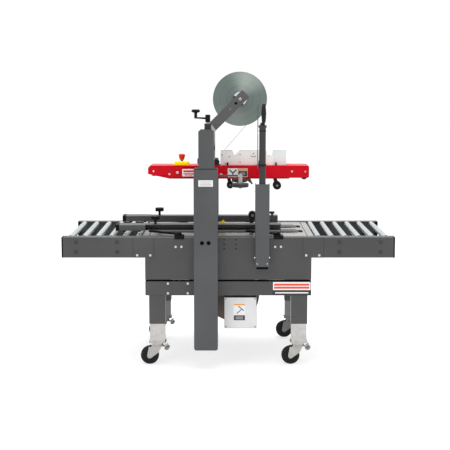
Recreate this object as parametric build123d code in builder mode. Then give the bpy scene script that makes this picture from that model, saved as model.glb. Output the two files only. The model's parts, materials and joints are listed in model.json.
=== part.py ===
from build123d import *
import os
from math import cos, radians, sin

os.makedirs("parts", exist_ok=True)

# A carton sealer: two roller conveyors, a powered bed with a lower taping head,
# and an upper taping head carried by two columns. Millimetres. X runs with the
# cartons from infeed to exit, the operator stands at -Y, and Z is up from the
# floor, with the origin under the middle of the machine.

# ---------------------------------------------------------------- dimensions

# Bed and conveyors
bed_length = 920
bed_width = 620
bed_height = 726
panel_depth = 240
panel_flange = 40
conveyor_length = 460
conveyor_depth = 116
conveyor_flange = 48
end_cap_length = 8
joint_plate_start = 49
joint_plate_length = 115
joint_plate_thickness = 2
sheet = 3
bend = 5
hairline = 0.2
running = 0.06

# Conveyor rollers
roller_count = 6
roller_pitch = 75
first_roller = 42
roller_radius = 16
roller_wall = 1.5
roller_rise = 3
roller_end_gap = 4
axle_corner_radius = 6.35
tie_thickness = 8
tie_offsets = (154, 381)
tie_bolt_drops = (28, 84)

# Base frame, legs and casters
frame_low = 397
frame_depth = 81
cross_member_x = 200
cross_member_width = 40
cross_member_depth = 60
leg_inset = 20
leg_width = 90
leg_depth = 66
leg_bottom = 236
leg_clearance = 0.5
leg_overlap = 94
caster_plate_thickness = 6
caster_plate_low = 125
wheel_radius = 50.8
wheel_width = 30
caster_trail = 45
caster_pin_radius = 6
fork_gap = 2

# Belt drive
belt_inner_y = 48
belt_outer_y = 128
belt_thickness = 3
belt_rise = 2
pulley_radius = 40
pulley_inset = 80
shaft_radius = 10
bearing_half_size = 22
bearing_depth = 15
motor_z = 548
motor_radius = 60
fin_radius = 62
fin_pitch = 15
chain_case_y = 205
chain_case_depth = 22
bed_plate_thickness = 3
belt_slot_gap = 2
head_slot_half_width = 33
head_slot = (-200, 276)
nose_length = 18
nose_drop = 22

# Columns
column_x = (-188, -57)
column_depth = 80
column_low = 108
column_high = 1106
column_slot_drop = 52
column_corner = 12
column_hole_radius = 9.5
inner_column_insets = (26, 21)
seal_gap = 1
inner_column_low = 470
inner_column_high = 1321
rear_column_high = 1280
inner_column_chamfer = 12
inner_cap_depth = 29
screw_bearing_margin = 10
screw_bearing_height = 31
beam_heights = ((1105, 1165), (1215, 1275))
beam_wall = 4
seal_height = 18
screw_radius = 8
screw_low = 440
nut_low = 780
nut_height = 32

# Crank
crank_hub_radius = 13.5
crank_hub = (1359, 1400)
crank_radius = 65
crank_pin_radius = 5
knob_radius = 23
knob = (1388, 1428)

# Upper head
head_low = 1024
head_high = 1100
head_half_width = 65
head_x = (-460, 465)
cover_sheet = 2.5
spine_thickness = 5
head_plate_inner = 30
head_plate_thickness = 3
head_plate_high = 1183
arm_pin_radius = 6
arm_half_width = 25
arm_plate = 3
upper_apply = ((-5, 1075), (12, 982), 20)
upper_buff = ((254, 1082), (284, 980), 24)
pressure_roller = (437, 1037, 19)
flap_x = 69
flap_y = 140
flap_radius = 47
flap_disc = (985, 1006)
flap_arm_z = (1045, 1053)
post_radius = 6
estop_x = -268
estop_size = (84, 70, 19)
estop_stem_radius = 7
estop_head = (1128, 1162)

# Lower head
lower_apply = ((-150, 692), (-135, 805), 23)
lower_buff = ((128, 692), (142, 805), 23)
lower_plate_inner = 28
lower_plate_thickness = 3

# Tape rolls
tape_radius = 155
tape_half_width = 24
core_radius = 38
core_gap = 0.3
spindle_radius = 8
upper_roll = (68, 1480)
lower_roll = (28, 334)
tape_arm_width = 57
tape_arm_depth = 20
tape_arm_front = -100
tape_arm_reach = (-235, 45)
tape_arm_hole_offset = 24
tape_arm_hole_radius = 8

# Cable guard and conduit
guard_x = (147, 224)
guard_z = (571, 1025)
guard_depth = 60
conduit_x = 185
conduit_standoff = 35
conduit_radius = 18
conduit_bore = 15
conduit_z = (700, 1330)
cable_radius = 6
cable_offset = 6
cable_bend = 20
cable_top = 1440
sleeve_radius = 9.5
sleeve_low = 1378

# Centring guides
guide_setback = 170
guide_z = (746, 779)
guide_x = (-630, 299)
guide_box_length = 165
guide_box_width = 75
guide_channel_width = 60
arm_pivots = (-270, 277)
arm_pivot_inset = 20
arm_length = 195
arm_rest_angle = 32
arm_z = (735, 743)
arm_width = 26
pivot_block_length = 53
pivot_pin_radius = 6
guide_pin_radius = 6
open_pivot_slack = 1.0
guide_knob_x = -412
guide_knob_radius = 26
guide_knob_top = 824
guide_knob_height = 20

# Control box
box_x = (-22, 158)
box_z = (209, 388)
box_depths = (10, 140)
box_door = 3

# Fasteners
bolt_head_radius = 7
bolt_head_height = 5
bolt_shank_radius = 4
bolt_clearance = 0.3

# ------------------------------------------------------------- derived sizes

half_bed = bed_length / 2
half_width = bed_width / 2
half_machine = half_bed + conveyor_length
pulley_x = half_bed - pulley_inset
motor_x = pulley_x
conduit_y = -half_width - conduit_standoff
guide_inner = half_width - guide_setback
arm_pivot_y = half_width - arm_pivot_inset
box_y = [depth - half_width for depth in box_depths]
inner_face = half_width - sheet
weld_face = inner_face - hairline
panel_low = bed_height - panel_depth
frame_high = frame_low + frame_depth
frame_clear_low = frame_low + bend + hairline
frame_clear_high = frame_high - bend - hairline
cross_member_top = frame_high - bend - sheet
rail_low = bed_height - conveyor_depth
rail_flange_edge = half_width - conveyor_flange
roller_z = bed_height + roller_rise - roller_radius
roller_half_length = rail_flange_edge - roller_end_gap
roller_offsets = [first_roller + roller_pitch * i for i in range(roller_count)]
leg_x = (half_bed - leg_inset - leg_width, half_bed - leg_inset)
leg_centre_x = sum(leg_x) / 2
leg_y = (weld_face - leg_depth, weld_face)
leg_centre_y = sum(leg_y) / 2
caster_plate_high = caster_plate_low + caster_plate_thickness
belt_radius = pulley_radius + belt_thickness
pulley_z = bed_height + belt_rise - belt_radius
plate_z = (bed_height - sheet - bed_plate_thickness, bed_height - sheet)
column_face = half_width + column_depth
column_edge = half_width + 1.5 * hairline
mount_plate_face = column_edge + sheet
inner_x = (column_x[0] + inner_column_insets[0], column_x[1] - inner_column_insets[1])
inner_y = (mount_plate_face + 0.7, column_face - 2 * sheet)
screw_x = (inner_x[0] + inner_x[1]) / 2 + 9
screw_y = -(inner_y[0] + inner_y[1]) / 2
arm_swing = (cos(radians(arm_rest_angle)), sin(radians(arm_rest_angle)))
guide_pin_y = arm_pivot_y - arm_length * arm_swing[1]
guide_pins = [x - arm_length * arm_swing[0] for x in arm_pivots]
panel_bolts = [(x, bed_height - 54) for x in (-290, -258, 258, 290)]
frame_bolts = [(x, z) for x in (-334, -224) for z in (frame_low + 14, frame_high - 12)]
joint_bolts = [(half_bed + x, rail_low + 15) for x in (-30, 42)]
tie_bolts = [(half_bed + x, bed_height - z) for x in tie_offsets for z in tie_bolt_drops]


# ------------------------------------------------------------------- helpers


def save(piece, name):
    """Label a finished piece and write it as its own STEP file."""
    piece.part.label = name
    export_step(piece.part, f"parts/{name}.step")


def block(low, high, mode=Mode.ADD):
    """A box from its low corner to its high corner, in the open part."""
    size = Vector(*high) - Vector(*low)
    with Locations((Vector(*low) + Vector(*high)) * 0.5):
        Box(size.X, size.Y, size.Z, mode=mode)


def rod(start, end, radius, mode=Mode.ADD):
    """A round bar from one point to another, in the open part."""
    path = Vector(*end) - Vector(*start)
    align = (Align.CENTER, Align.CENTER, Align.MIN)
    with Locations(Plane(origin=start, z_dir=path)):
        Cylinder(radius, path.length, align=align, mode=mode)


def slab(points, plane, thickness, mode=Mode.ADD):
    """A flat plate of a straight-sided outline, in the open part."""
    with BuildSketch(plane) as outline:
        with BuildLine():
            Polyline(*points, close=True)
        make_face()
    extrude(to_extrude=outline.sketch, amount=thickness, mode=mode)


def bent_sheet(points, plane, length, mode=Mode.ADD):
    """A sheet bent along a line of points on its outside, in the open part."""
    with BuildSketch(plane) as profile:
        with BuildLine():
            FilletPolyline(*points, radius=bend)
            offset(amount=sheet, side=Side.RIGHT)
        make_face()
    extrude(to_extrude=profile.sketch, amount=length, mode=mode)


def link(first, first_radius, second, second_radius, plane, thickness):
    """A flat link that joins two round bosses, in the open part."""
    with BuildSketch(plane) as outline:
        with Locations(first):
            Circle(first_radius)
        with Locations(second):
            Circle(second_radius)
        make_hull()
    extrude(to_extrude=outline.sketch, amount=thickness)


def drill(holes, radius, face, depth=sheet):
    """Holes through a plate on the operator's side, whose outside is at face."""
    for x, z in holes:
        rod((x, -face - 1, z), (x, -face + depth + 1, z), radius, mode=Mode.SUBTRACT)


# ----------------------------------------------------------- bed, static parts

# Side panels: folded sheets with the pulley bearings inside them
panel_edge = half_width - panel_flange
vent_holes = [(x, bed_height - z) for x in (-23, 43) for z in (16, 41, 66)]
with BuildPart() as side_panels:
    bent_sheet(
        [
            (-panel_edge, panel_low),
            (-half_width, panel_low),
            (-half_width, bed_height),
            (-panel_edge, bed_height),
        ],
        Plane.YZ.offset(-half_bed),
        bed_length,
    )
    drill(vent_holes, 4, half_width)
    drill(panel_bolts, bolt_shank_radius + bolt_clearance, half_width)
    joint_x, joint_z = joint_bolts[0]
    drill([(-joint_x, joint_z), (joint_x, joint_z)], bolt_shank_radius + bolt_clearance, half_width)
    for x in (-pulley_x, pulley_x):
        block(
            (x - bearing_half_size, -weld_face, pulley_z - bearing_half_size),
            (x + bearing_half_size, -weld_face + bearing_depth, pulley_z + bearing_half_size),
        )
        rod((x, -weld_face, pulley_z), (x, 0, pulley_z), shaft_radius + running, Mode.SUBTRACT)
    mirror(about=Plane.XZ)
save(side_panels, "side_panels")

# Base frame: long rails, cross members and the outer legs
with BuildPart() as base_frame:
    bent_sheet(
        [
            (-panel_edge, frame_low),
            (-half_width, frame_low),
            (-half_width, frame_high),
            (-panel_edge, frame_high),
        ],
        Plane.YZ.offset(-half_bed),
        bed_length,
    )
    for side in (-1, 1):
        start, end = sorted((side * leg_x[0], side * leg_x[1]))
        block(
            (start - hairline, -inner_face, frame_low - 1),
            (end + hairline, -leg_y[0] + hairline, frame_high + 1),
            Mode.SUBTRACT,
        )
        block((start, -leg_y[1], leg_bottom), (end, -leg_y[0], panel_low - hairline))
        block(
            (start + sheet, -leg_y[1] + sheet, leg_bottom - 1),
            (end - sheet, -leg_y[0] - sheet, panel_low + 1),
            Mode.SUBTRACT,
        )
    drill(frame_bolts, bolt_shank_radius + bolt_clearance, half_width)
    mirror(about=Plane.XZ)
    for side in (-1, 1):
        start, end = sorted((side * (half_bed - sheet), side * half_bed))
        block((start, -weld_face, frame_clear_low), (end, weld_face, frame_clear_high))
        middle = side * cross_member_x
        low = (middle - cross_member_width / 2, -weld_face, cross_member_top - cross_member_depth)
        high = (middle + cross_member_width / 2, weld_face, cross_member_top)
        block(low, high)
        block(
            (low[0] + sheet, -weld_face, low[2] + sheet),
            (high[0] - sheet, weld_face, high[2] - sheet),
            Mode.SUBTRACT,
        )
save(base_frame, "base_frame")

# Inner legs: zinc-plated tubes that slide in the outer legs, on caster plates
inner_leg_half = ((leg_width / 2) - sheet - leg_clearance, (leg_depth / 2) - sheet - leg_clearance)
with BuildPart() as inner_legs:
    dx, dy = inner_leg_half
    block(
        (leg_centre_x - dx, -leg_centre_y - dy, caster_plate_high),
        (leg_centre_x + dx, -leg_centre_y + dy, leg_bottom + leg_overlap),
    )
    block(
        (leg_centre_x - dx + sheet, -leg_centre_y - dy + sheet, caster_plate_high),
        (leg_centre_x + dx - sheet, -leg_centre_y + dy - sheet, leg_bottom + leg_overlap),
        Mode.SUBTRACT,
    )
    block(
        (leg_centre_x - dx - 6, -leg_centre_y - dy - 5, caster_plate_low),
        (leg_centre_x + dx + 6, -leg_centre_y + dy + 5, caster_plate_high),
    )
    rod(
        (leg_centre_x, -leg_centre_y, caster_plate_low - 1),
        (leg_centre_x, -leg_centre_y, caster_plate_high + 1),
        caster_pin_radius + running,
        Mode.SUBTRACT,
    )
    mirror(about=Plane.XZ)
    mirror(about=Plane.YZ)
save(inner_legs, "inner_legs")

# Bed plates: one sheet with slots for the belts and the lower taping head
plate_half_width = inner_face - 3
belt_slot_x = pulley_x + belt_radius + 5
with BuildPart() as bed_plates:
    plate_low, plate_high = plate_z
    nose_x = half_bed + nose_length
    slot_y = (belt_inner_y - belt_slot_gap, belt_outer_y + belt_slot_gap)
    block((-half_bed + 1, -plate_half_width, plate_low), (half_bed - 1, plate_half_width, plate_high))
    for side in (-1, 1):
        start, end = sorted((side * (half_bed - 1), side * nose_x))
        block((start, -roller_half_length, plate_low), (end, roller_half_length, plate_high))
        start, end = sorted((side * (nose_x - sheet), side * nose_x))
        block((start, -roller_half_length, plate_high - nose_drop), (end, roller_half_length, plate_high))
        low_y, high_y = sorted(side * y for y in slot_y)
        block((-belt_slot_x, low_y, plate_low - 1), (belt_slot_x, high_y, plate_high + 1), Mode.SUBTRACT)
    across = bed_plates.edges().filter_by(Axis.Y)
    top_edges = across.filter_by_position(Axis.Z, plate_high - 0.1, plate_high + 0.1)
    fillet(top_edges.filter_by(lambda e: abs(e.center().X) > nose_x - 0.1), bed_plate_thickness - 0.5)
    block(
        (head_slot[0], -head_slot_half_width, plate_z[0] - 1),
        (head_slot[1], head_slot_half_width, plate_z[1] + 1),
        Mode.SUBTRACT,
    )
save(bed_plates, "bed_plates")

# Conveyor rails: folded channels, their ties and the plates that join them to the bed
with BuildPart() as conveyor_rails:
    bent_sheet(
        [
            (-rail_flange_edge, rail_low),
            (-half_width, rail_low),
            (-half_width, bed_height),
            (-rail_flange_edge, bed_height),
        ],
        Plane.YZ.offset(half_bed + hairline),
        conveyor_length - end_cap_length - hairline,
    )
    with BuildSketch(Plane.XZ.offset(inner_face - 1)):
        with Locations(*[(half_bed + x, roller_z) for x in roller_offsets]):
            RegularPolygon(axle_corner_radius + 2 * running, 6)
    extrude(amount=sheet + 2, mode=Mode.SUBTRACT)
    block(
        (half_bed - joint_plate_start, -half_width - hairline - joint_plate_thickness, rail_low + 1),
        (half_bed - joint_plate_start + joint_plate_length, -half_width - hairline, bed_height - bend),
    )
    drill(joint_bolts, bolt_shank_radius + bolt_clearance, half_width + joint_plate_thickness, 2 * sheet)
    drill(tie_bolts, bolt_shank_radius + bolt_clearance, half_width)
    for x in tie_offsets:
        tie = half_bed + x
        block(
            (tie - tie_thickness / 2, -weld_face, bed_height - max(tie_bolt_drops) - 10),
            (tie + tie_thickness / 2, 0, bed_height - min(tie_bolt_drops) - 12),
        )
    mirror(about=Plane.XZ)
    mirror(about=Plane.YZ)
save(conveyor_rails, "conveyor_rails")

# Black end caps of the rails and the pivot blocks of the guide arms
with BuildPart() as end_caps_and_pivots:
    block(
        (half_machine - end_cap_length, -half_width, rail_low),
        (half_machine, -rail_flange_edge, bed_height),
    )
    fillet(end_caps_and_pivots.edges().filter_by(Axis.Y).group_by(Axis.X)[-1], 3)
    mirror(about=Plane.YZ)
    for x in arm_pivots:
        start, end = x - pivot_block_length / 2, x + pivot_block_length / 2
        lip = half_width + hairline
        block((start, -lip - 4, bed_height + hairline), (end, -rail_flange_edge, arm_z[0] - 1))
        block((start, -lip - 4, bed_height - 12), (end, -lip, bed_height + hairline))
        rod((x, -arm_pivot_y, arm_z[0] - 1), (x, -arm_pivot_y, arm_z[1] + 1), pivot_pin_radius)
        rod((x, -arm_pivot_y, arm_z[1] + 1), (x, -arm_pivot_y, arm_z[1] + 5), 2 * pivot_pin_radius - 2)
    mirror(about=Plane.XZ)
save(end_caps_and_pivots, "end_caps_and_pivots")

# Fixed hexagonal axles of the conveyor rollers
with BuildPart() as roller_axles:
    axle_points = [(side * (half_bed + x), roller_z) for side in (-1, 1) for x in roller_offsets]
    with BuildSketch(Plane.XZ.offset(-half_width + 0.5)):
        with Locations(*axle_points):
            RegularPolygon(axle_corner_radius, 6)
    extrude(amount=bed_width - 1)
save(roller_axles, "roller_axles")

# Outer columns: channels open towards the bed, with the slide seals and the screw nut
with BuildPart() as outer_columns:
    bent_sheet(
        [
            (column_x[1], -column_edge),
            (column_x[1], -column_face),
            (column_x[0], -column_face),
            (column_x[0], -column_edge),
        ],
        Plane.XY.offset(column_low),
        column_high - column_low,
    )
    with BuildSketch(Plane.XZ) as silhouette:
        with Locations((column_x[0], column_low)):
            Rectangle(column_x[1] - column_x[0], column_high - column_low, align=Align.MIN)
        fillet(silhouette.vertices().group_by(Axis.Y)[0], column_corner)
    extrude(amount=column_face + 10, mode=Mode.INTERSECT)
    hole_x = [sum(column_x) / 2 + dx for dx in (-20.5, 15.5)]
    drill([(x, bed_height - 20) for x in hole_x], column_hole_radius, column_face)
    for x in hole_x:
        block(
            (x - 6, -column_face - 1, column_high - column_slot_drop),
            (x + 6, -column_face + sheet + 1, column_high - column_slot_drop + 3),
            Mode.SUBTRACT,
        )
    block(
        (column_x[0] + sheet, -mount_plate_face, frame_low),
        (column_x[1] - sheet, -column_edge, nut_low + nut_height),
    )
    seal_low = column_high - seal_height + 4
    block(
        (column_x[0] + sheet + seal_gap, -column_face + sheet + seal_gap, seal_low),
        (column_x[1] - sheet - seal_gap, -column_edge, seal_low + seal_height),
    )
    block(
        (inner_x[0] - 0.4, -inner_y[1] - 0.4, seal_low - 1),
        (inner_x[1] + 0.4, -column_edge + 1, seal_low + seal_height + 1),
        Mode.SUBTRACT,
    )
    mirror(about=Plane.XZ)
    block(
        (screw_x - 3 * screw_radius, screw_y - 2.5 * screw_radius, nut_low),
        (screw_x + 3 * screw_radius, -mount_plate_face, nut_low + nut_height),
    )
    rod(
        (screw_x, screw_y, nut_low - 1),
        (screw_x, screw_y, nut_low + nut_height + 1),
        screw_radius + running,
        Mode.SUBTRACT,
    )
save(outer_columns, "outer_columns")

# Cable guard: a folded cover on the operator's side that the conduit slides in
with BuildPart() as cable_guard:
    bent_sheet(
        [
            (guard_x[1], -column_edge),
            (guard_x[1], -half_width - guard_depth),
            (guard_x[0], -half_width - guard_depth),
            (guard_x[0], -column_edge),
        ],
        Plane.XY.offset(guard_z[0]),
        guard_z[1] - guard_z[0],
    )
save(cable_guard, "cable_guard")

# Control box under the bed, hung from the base frame
with BuildPart() as control_box:
    door_face = box_y[0] + box_door
    block((box_x[0], door_face + hairline, box_z[0]), (box_x[1], box_y[1], box_z[1]))
    fillet(control_box.edges().filter_by(Axis.Y), 6)
    for x in (box_x[0] + 20, box_x[1] - 50):
        block((x, -panel_edge - 22, box_z[1]), (x + 30, -panel_edge, frame_low - hairline))
    block((box_x[0], box_y[0], box_z[0]), (box_x[1], door_face, box_z[1]))
    door_edges = control_box.edges().filter_by(Axis.Y).group_by(Axis.Y)[0]
    fillet(door_edges, 6)
save(control_box, "control_box")

# Lower head frame: two plates with the arm pins, the knife guard and the roll bracket
lower_face = lower_plate_inner + lower_plate_thickness
leg_foot = cross_member_top + hairline
with BuildPart() as lower_head_frame:
    slab(
        [
            (-cross_member_x, leg_foot),
            (-cross_member_x + 25, leg_foot),
            (-cross_member_x + 25, 560),
            (cross_member_x - 15, 560),
            (cross_member_x - 15, leg_foot),
            (cross_member_x + 10, leg_foot),
            (cross_member_x + 10, 560),
            (head_slot[1] - 6, 600),
            (head_slot[1] - 6, plate_z[0] - 3),
            (-cross_member_x, plate_z[0] - 3),
        ],
        Plane.XZ.offset(lower_plate_inner),
        lower_plate_thickness,
    )
    mirror(about=Plane.XZ)
    for x, z in (lower_apply[0], lower_buff[0]):
        rod((x, -lower_face, z), (x, lower_face, z), arm_pin_radius)
    for x in (-100, 100):
        rod((x, -lower_plate_inner, 585), (x, lower_plate_inner, 585), arm_pin_radius)
    knife = [(-47, plate_z[0] - 20), (-18, plate_z[0] - 20), (-18, 768), (-26, 781), (-47, 764)]
    slab(knife, Plane.XZ.offset(lower_plate_inner - 2), 2)
    x, z = lower_roll
    block((x - 20, lower_face + hairline, z - 30), (x + 20, lower_face + 5, 600))
    rod((x, -tape_half_width - 4, z), (x, lower_face + 5, z), spindle_radius)
save(lower_head_frame, "lower_head_frame")

# Drive belts: two closed loops that run in the slots of the bed plates
with BuildPart() as drive_belts:
    with BuildSketch(Plane.XZ.offset(belt_inner_y)):
        with Locations((0, pulley_z)):
            SlotCenterToCenter(2 * pulley_x, 2 * belt_radius)
            SlotCenterToCenter(2 * pulley_x, 2 * pulley_radius, mode=Mode.SUBTRACT)
    extrude(amount=belt_outer_y - belt_inner_y)
    mirror(about=Plane.XZ)
save(drive_belts, "drive_belts")

# Gearmotor on the base frame, with the closed case of its chain to the pulley shaft
with BuildPart() as gearmotor:
    block(
        (cross_member_x - 15, 40, cross_member_top + hairline),
        (motor_x + 50, chain_case_y - 20, cross_member_top + 8),
    )
    block((motor_x - 40, 80, cross_member_top + 8), (motor_x + 40, 170, motor_z - 55 - hairline))
    block((motor_x - 50, 70, motor_z - 55), (motor_x + 50, 180, motor_z + 55))
    fillet(gearmotor.edges().filter_by(Axis.Y).group_by(Axis.Z)[-1], 10)
    rod((motor_x, -150, motor_z), (motor_x, 70, motor_z), motor_radius)
    for y in range(-130, 60, fin_pitch):
        rod((motor_x, y, motor_z), (motor_x, y + fin_pitch / 3, motor_z), fin_radius)
    rod((motor_x, 180, motor_z), (motor_x, chain_case_y, motor_z), 14)
    case_plane = Plane.XZ.offset(-chain_case_y - chain_case_depth)
    link((motor_x, motor_z), 42, (pulley_x, pulley_z), 34, case_plane, chain_case_depth)
    rod(
        (pulley_x, chain_case_y - 1, pulley_z),
        (pulley_x, chain_case_y + chain_case_depth + 1, pulley_z),
        shaft_radius + 0.5,
        Mode.SUBTRACT,
    )
save(gearmotor, "gearmotor")

# Bolts of the bed, the frame and the conveyors
with BuildPart() as bed_bolts:
    tie_bolts_both = tie_bolts + [(-x, z) for x, z in tie_bolts]
    joint_bolts_both = joint_bolts + [(-x, z) for x, z in joint_bolts]
    joint_face = half_width + hairline + joint_plate_thickness
    for holes, face in (
        (panel_bolts + frame_bolts + tie_bolts_both, half_width),
        (joint_bolts_both, joint_face),
    ):
        for x, z in holes:
            rod((x, -face - hairline, z), (x, -face - bolt_head_height, z), bolt_head_radius)
            rod((x, -half_width + 1.5, z), (x, -face - hairline, z), bolt_shank_radius)
    heads = bed_bolts.edges().filter_by(GeomType.CIRCLE).filter_by(
        lambda e: e.radius > bolt_shank_radius and e.center().Y < -half_width - bolt_head_height + 1
    )
    fillet(heads, 1.5)
    mirror(about=Plane.XZ)
save(bed_bolts, "bed_bolts")

# ------------------------------------------------------------ upper head, static

# Head frame: inner columns, beams, the spine of the head and the flap arms
spine_face = head_half_width - cover_sheet - 0.5
with BuildPart() as head_frame:
    bent_sheet(
        [
            (inner_x[1], -inner_y[0]),
            (inner_x[1], -inner_y[1]),
            (inner_x[0], -inner_y[1]),
            (inner_x[0], -inner_y[0]),
        ],
        Plane.XY.offset(inner_column_low),
        inner_column_high - inner_cap_depth - inner_column_low,
    )
    mirror(about=Plane.XZ)
    block(
        (inner_x[0] - 1, inner_y[0] - 1, rear_column_high),
        (inner_x[1] + 1, inner_y[1] + 1, inner_column_high + 1),
        Mode.SUBTRACT,
    )
    block((inner_x[0], inner_y[0], rear_column_high - sheet), (inner_x[1], inner_y[1], rear_column_high))
    cap_low, cap_slope = inner_column_high - inner_cap_depth, inner_column_high - inner_column_chamfer
    slab(
        [
            (inner_x[0], cap_low),
            (inner_x[1], cap_low),
            (inner_x[1], cap_slope),
            (inner_x[1] - inner_column_chamfer, inner_column_high),
            (inner_x[0] + inner_column_chamfer, inner_column_high),
            (inner_x[0], cap_slope),
        ],
        Plane.XZ.offset(inner_y[0]),
        inner_y[1] - inner_y[0],
    )
    bearing = (screw_radius + screw_bearing_margin, inner_column_high + screw_bearing_height)
    block(
        (screw_x - bearing[0], screw_y - bearing[0], inner_column_high),
        (screw_x + bearing[0], screw_y + bearing[0], bearing[1]),
    )
    rod(
        (screw_x, screw_y, cap_low - 1),
        (screw_x, screw_y, bearing[1] + 1),
        screw_radius + running,
        Mode.SUBTRACT,
    )
    beam_end = inner_y[0] - hairline
    for low, high in beam_heights:
        block((inner_x[0], -beam_end, low), (inner_x[1], beam_end, high))
        block(
            (inner_x[0] + beam_wall, -beam_end, low + beam_wall),
            (inner_x[1] - beam_wall, beam_end, high - beam_wall),
            Mode.SUBTRACT,
        )
    beam_low = beam_heights[0][0]
    spine_z = (head_low + 16, head_high - cover_sheet - 2)
    hanger_low = spine_z[1] + hairline
    hanger_x = (inner_x[0] + 12, inner_x[1] - 12)
    block((hanger_x[0], -spine_face, hanger_low), (hanger_x[1], spine_face, beam_low - hairline))
    for side in (-1, 1):
        start, end = sorted((side * spine_face, side * (spine_face - spine_thickness)))
        block((head_x[0] + 24, start, spine_z[0]), (head_x[1] - 13, end, spine_z[1]))
        start, end = sorted((side * (flap_y - 8), side * (flap_y + 8)))
        block((inner_x[1] - 22, start, flap_arm_z[1] + hairline), (inner_x[1], end, beam_low - hairline))
        block((inner_x[1] - 22, start, flap_arm_z[0]), (flap_x + 12, end, flap_arm_z[1]))
        y = side * flap_y
        rod((flap_x, y, flap_disc[0] - 8), (flap_x, y, flap_arm_z[1] + 9), post_radius)
        rod((flap_x, y, flap_disc[0] - 8), (flap_x, y, flap_disc[0] - 0.4), post_radius + 4)
        rod((flap_x, y, flap_disc[1] + 0.4), (flap_x, y, flap_arm_z[0]), post_radius + 5)
    tie_face = spine_face - spine_thickness - hairline
    for x in (head_x[0] + 30, 405):
        block((x, -tie_face, spine_z[1] - 30), (x + 7, tie_face, spine_z[1]))
save(head_frame, "head_frame")

# Head covers: a folded red cover, open below and slotted above for the head plates
cover_left, cover_right = head_x
cover_outline = [
    (cover_left, head_low + 27),
    (cover_left, head_high),
    (cover_right, head_high),
    (cover_right, head_low + 5),
    (352, head_low + 5),
    (352, head_low),
    (-335, head_low),
]
with BuildPart() as head_covers:
    slab(cover_outline, Plane.XZ.offset(-head_half_width), 2 * head_half_width)
    ends = head_covers.edges().filter_by(Axis.Y)
    fillet(ends.group_by(Axis.X)[0].group_by(Axis.Z)[-1], 22)
    fillet(head_covers.edges().filter_by(Axis.Y).group_by(Axis.X)[-1], 10)
    inside = head_half_width - cover_sheet
    block(
        (cover_left + 22, -inside, head_low - 1),
        (cover_right - cover_sheet, inside, head_high - cover_sheet),
        Mode.SUBTRACT,
    )
    block(
        (cover_left + cover_sheet, -inside, head_low - 1),
        (cover_left + 23, inside, head_high - 22),
        Mode.SUBTRACT,
    )
    slot_half = head_plate_inner + head_plate_thickness + 3
    block((-50, -slot_half, head_high - 5), (342, slot_half, head_high + 1), Mode.SUBTRACT)
    block(
        (inner_x[0] + 10, -inside, head_high - 5),
        (inner_x[1] - 10, inside, head_high + 1),
        Mode.SUBTRACT,
    )
    block((344, -8, head_high - 5), (371, 8, head_high + 1), Mode.SUBTRACT)
save(head_covers, "head_covers")

# Upper head frame: the white head plates with the arm pins, and the end roller
upper_face = head_plate_inner + head_plate_thickness
with BuildPart() as upper_head_frame:
    slab(
        [
            (-44, head_low + 10),
            (-44, head_plate_high - 2),
            (24, head_plate_high),
            (38, head_plate_high - 34),
            (70, head_plate_high),
            (222, head_plate_high),
            (226, head_plate_high - 28),
            (256, head_plate_high - 33),
            (262, head_plate_high),
            (336, head_plate_high),
            (336, head_low + 10),
        ],
        Plane.XZ.offset(head_plate_inner),
        head_plate_thickness,
    )
    corners = upper_head_frame.edges().filter_by(Axis.Y).filter_by(
        lambda e: e.center().Z > head_plate_high - 5
    )
    fillet(corners, 6)
    mirror(about=Plane.XZ)
    for x, z in (upper_apply[0], upper_buff[0]):
        rod((x, -upper_face, z), (x, upper_face, z), arm_pin_radius)
    for x in (-40, 322):
        start = spine_face - spine_thickness - hairline
        block((x, -start, head_high - 24), (x + 10, start, head_high - 8))
    guard_outline = [(100, 1036), (122, 1036), (144, 990), (138, 987), (106, 1014)]
    slab(guard_outline, Plane.XZ.offset(head_plate_inner - 2), 2)
    x, z, radius = pressure_roller
    rod((x, -50, z), (x, 50, z), radius)
    rod((x, -start, z), (x, start, z), 5)
save(upper_head_frame, "upper_head_frame")

# Tape arm: a channel at 45 degrees that carries the drum spindle, on a bracket
arm_plane = Plane(
    origin=(upper_roll[0], tape_arm_front + tape_arm_depth, upper_roll[1]),
    x_dir=(1, 0, 1),
    z_dir=(0, -1, 0),
)
foot_z = beam_heights[1][1] + hairline
arm_edge = tape_arm_width / 2
with BuildPart() as tape_arm:
    start, end = tape_arm_reach
    slab(
        [(start, -arm_edge), (end, -arm_edge), (end, arm_edge), (start, arm_edge)],
        arm_plane,
        tape_arm_depth,
    )
    corners = tape_arm.edges().filter_by(Axis.Y).sort_by(Axis.Z)
    fillet(corners[-2:], 6)
    slab(
        [
            (start - 1, -arm_edge + sheet),
            (end - sheet, -arm_edge + sheet),
            (end - sheet, arm_edge - sheet),
            (start - 1, arm_edge - sheet),
        ],
        arm_plane,
        tape_arm_depth - sheet,
        Mode.SUBTRACT,
    )
    rod(
        (upper_roll[0] - tape_arm_hole_offset, tape_arm_front - 1, upper_roll[1] - tape_arm_hole_offset),
        (upper_roll[0] - tape_arm_hole_offset, tape_arm_front + 5, upper_roll[1] - tape_arm_hole_offset),
        tape_arm_hole_radius,
        Mode.SUBTRACT,
    )
    x, z = upper_roll
    rod((x, tape_arm_front - 5, z), (x, tape_half_width + 8, z), spindle_radius)
    foot_x = (inner_x[0] + 10, inner_x[1] - 10)
    block((foot_x[0], tape_arm_front - 5, foot_z), (foot_x[1], tape_arm_front + 40, foot_z + 8))
    slab(
        [
            (inner_x[0] + 22, foot_z + 8),
            (inner_x[1] - 2, foot_z + 8),
            (inner_x[1] + 8, foot_z + 30),
            (inner_x[1] - 12, foot_z + 58),
            (inner_x[0] + 40, foot_z + 58),
        ],
        Plane.XZ.offset(-tape_arm_front),
        5,
    )
save(tape_arm, "tape_arm")

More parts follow.
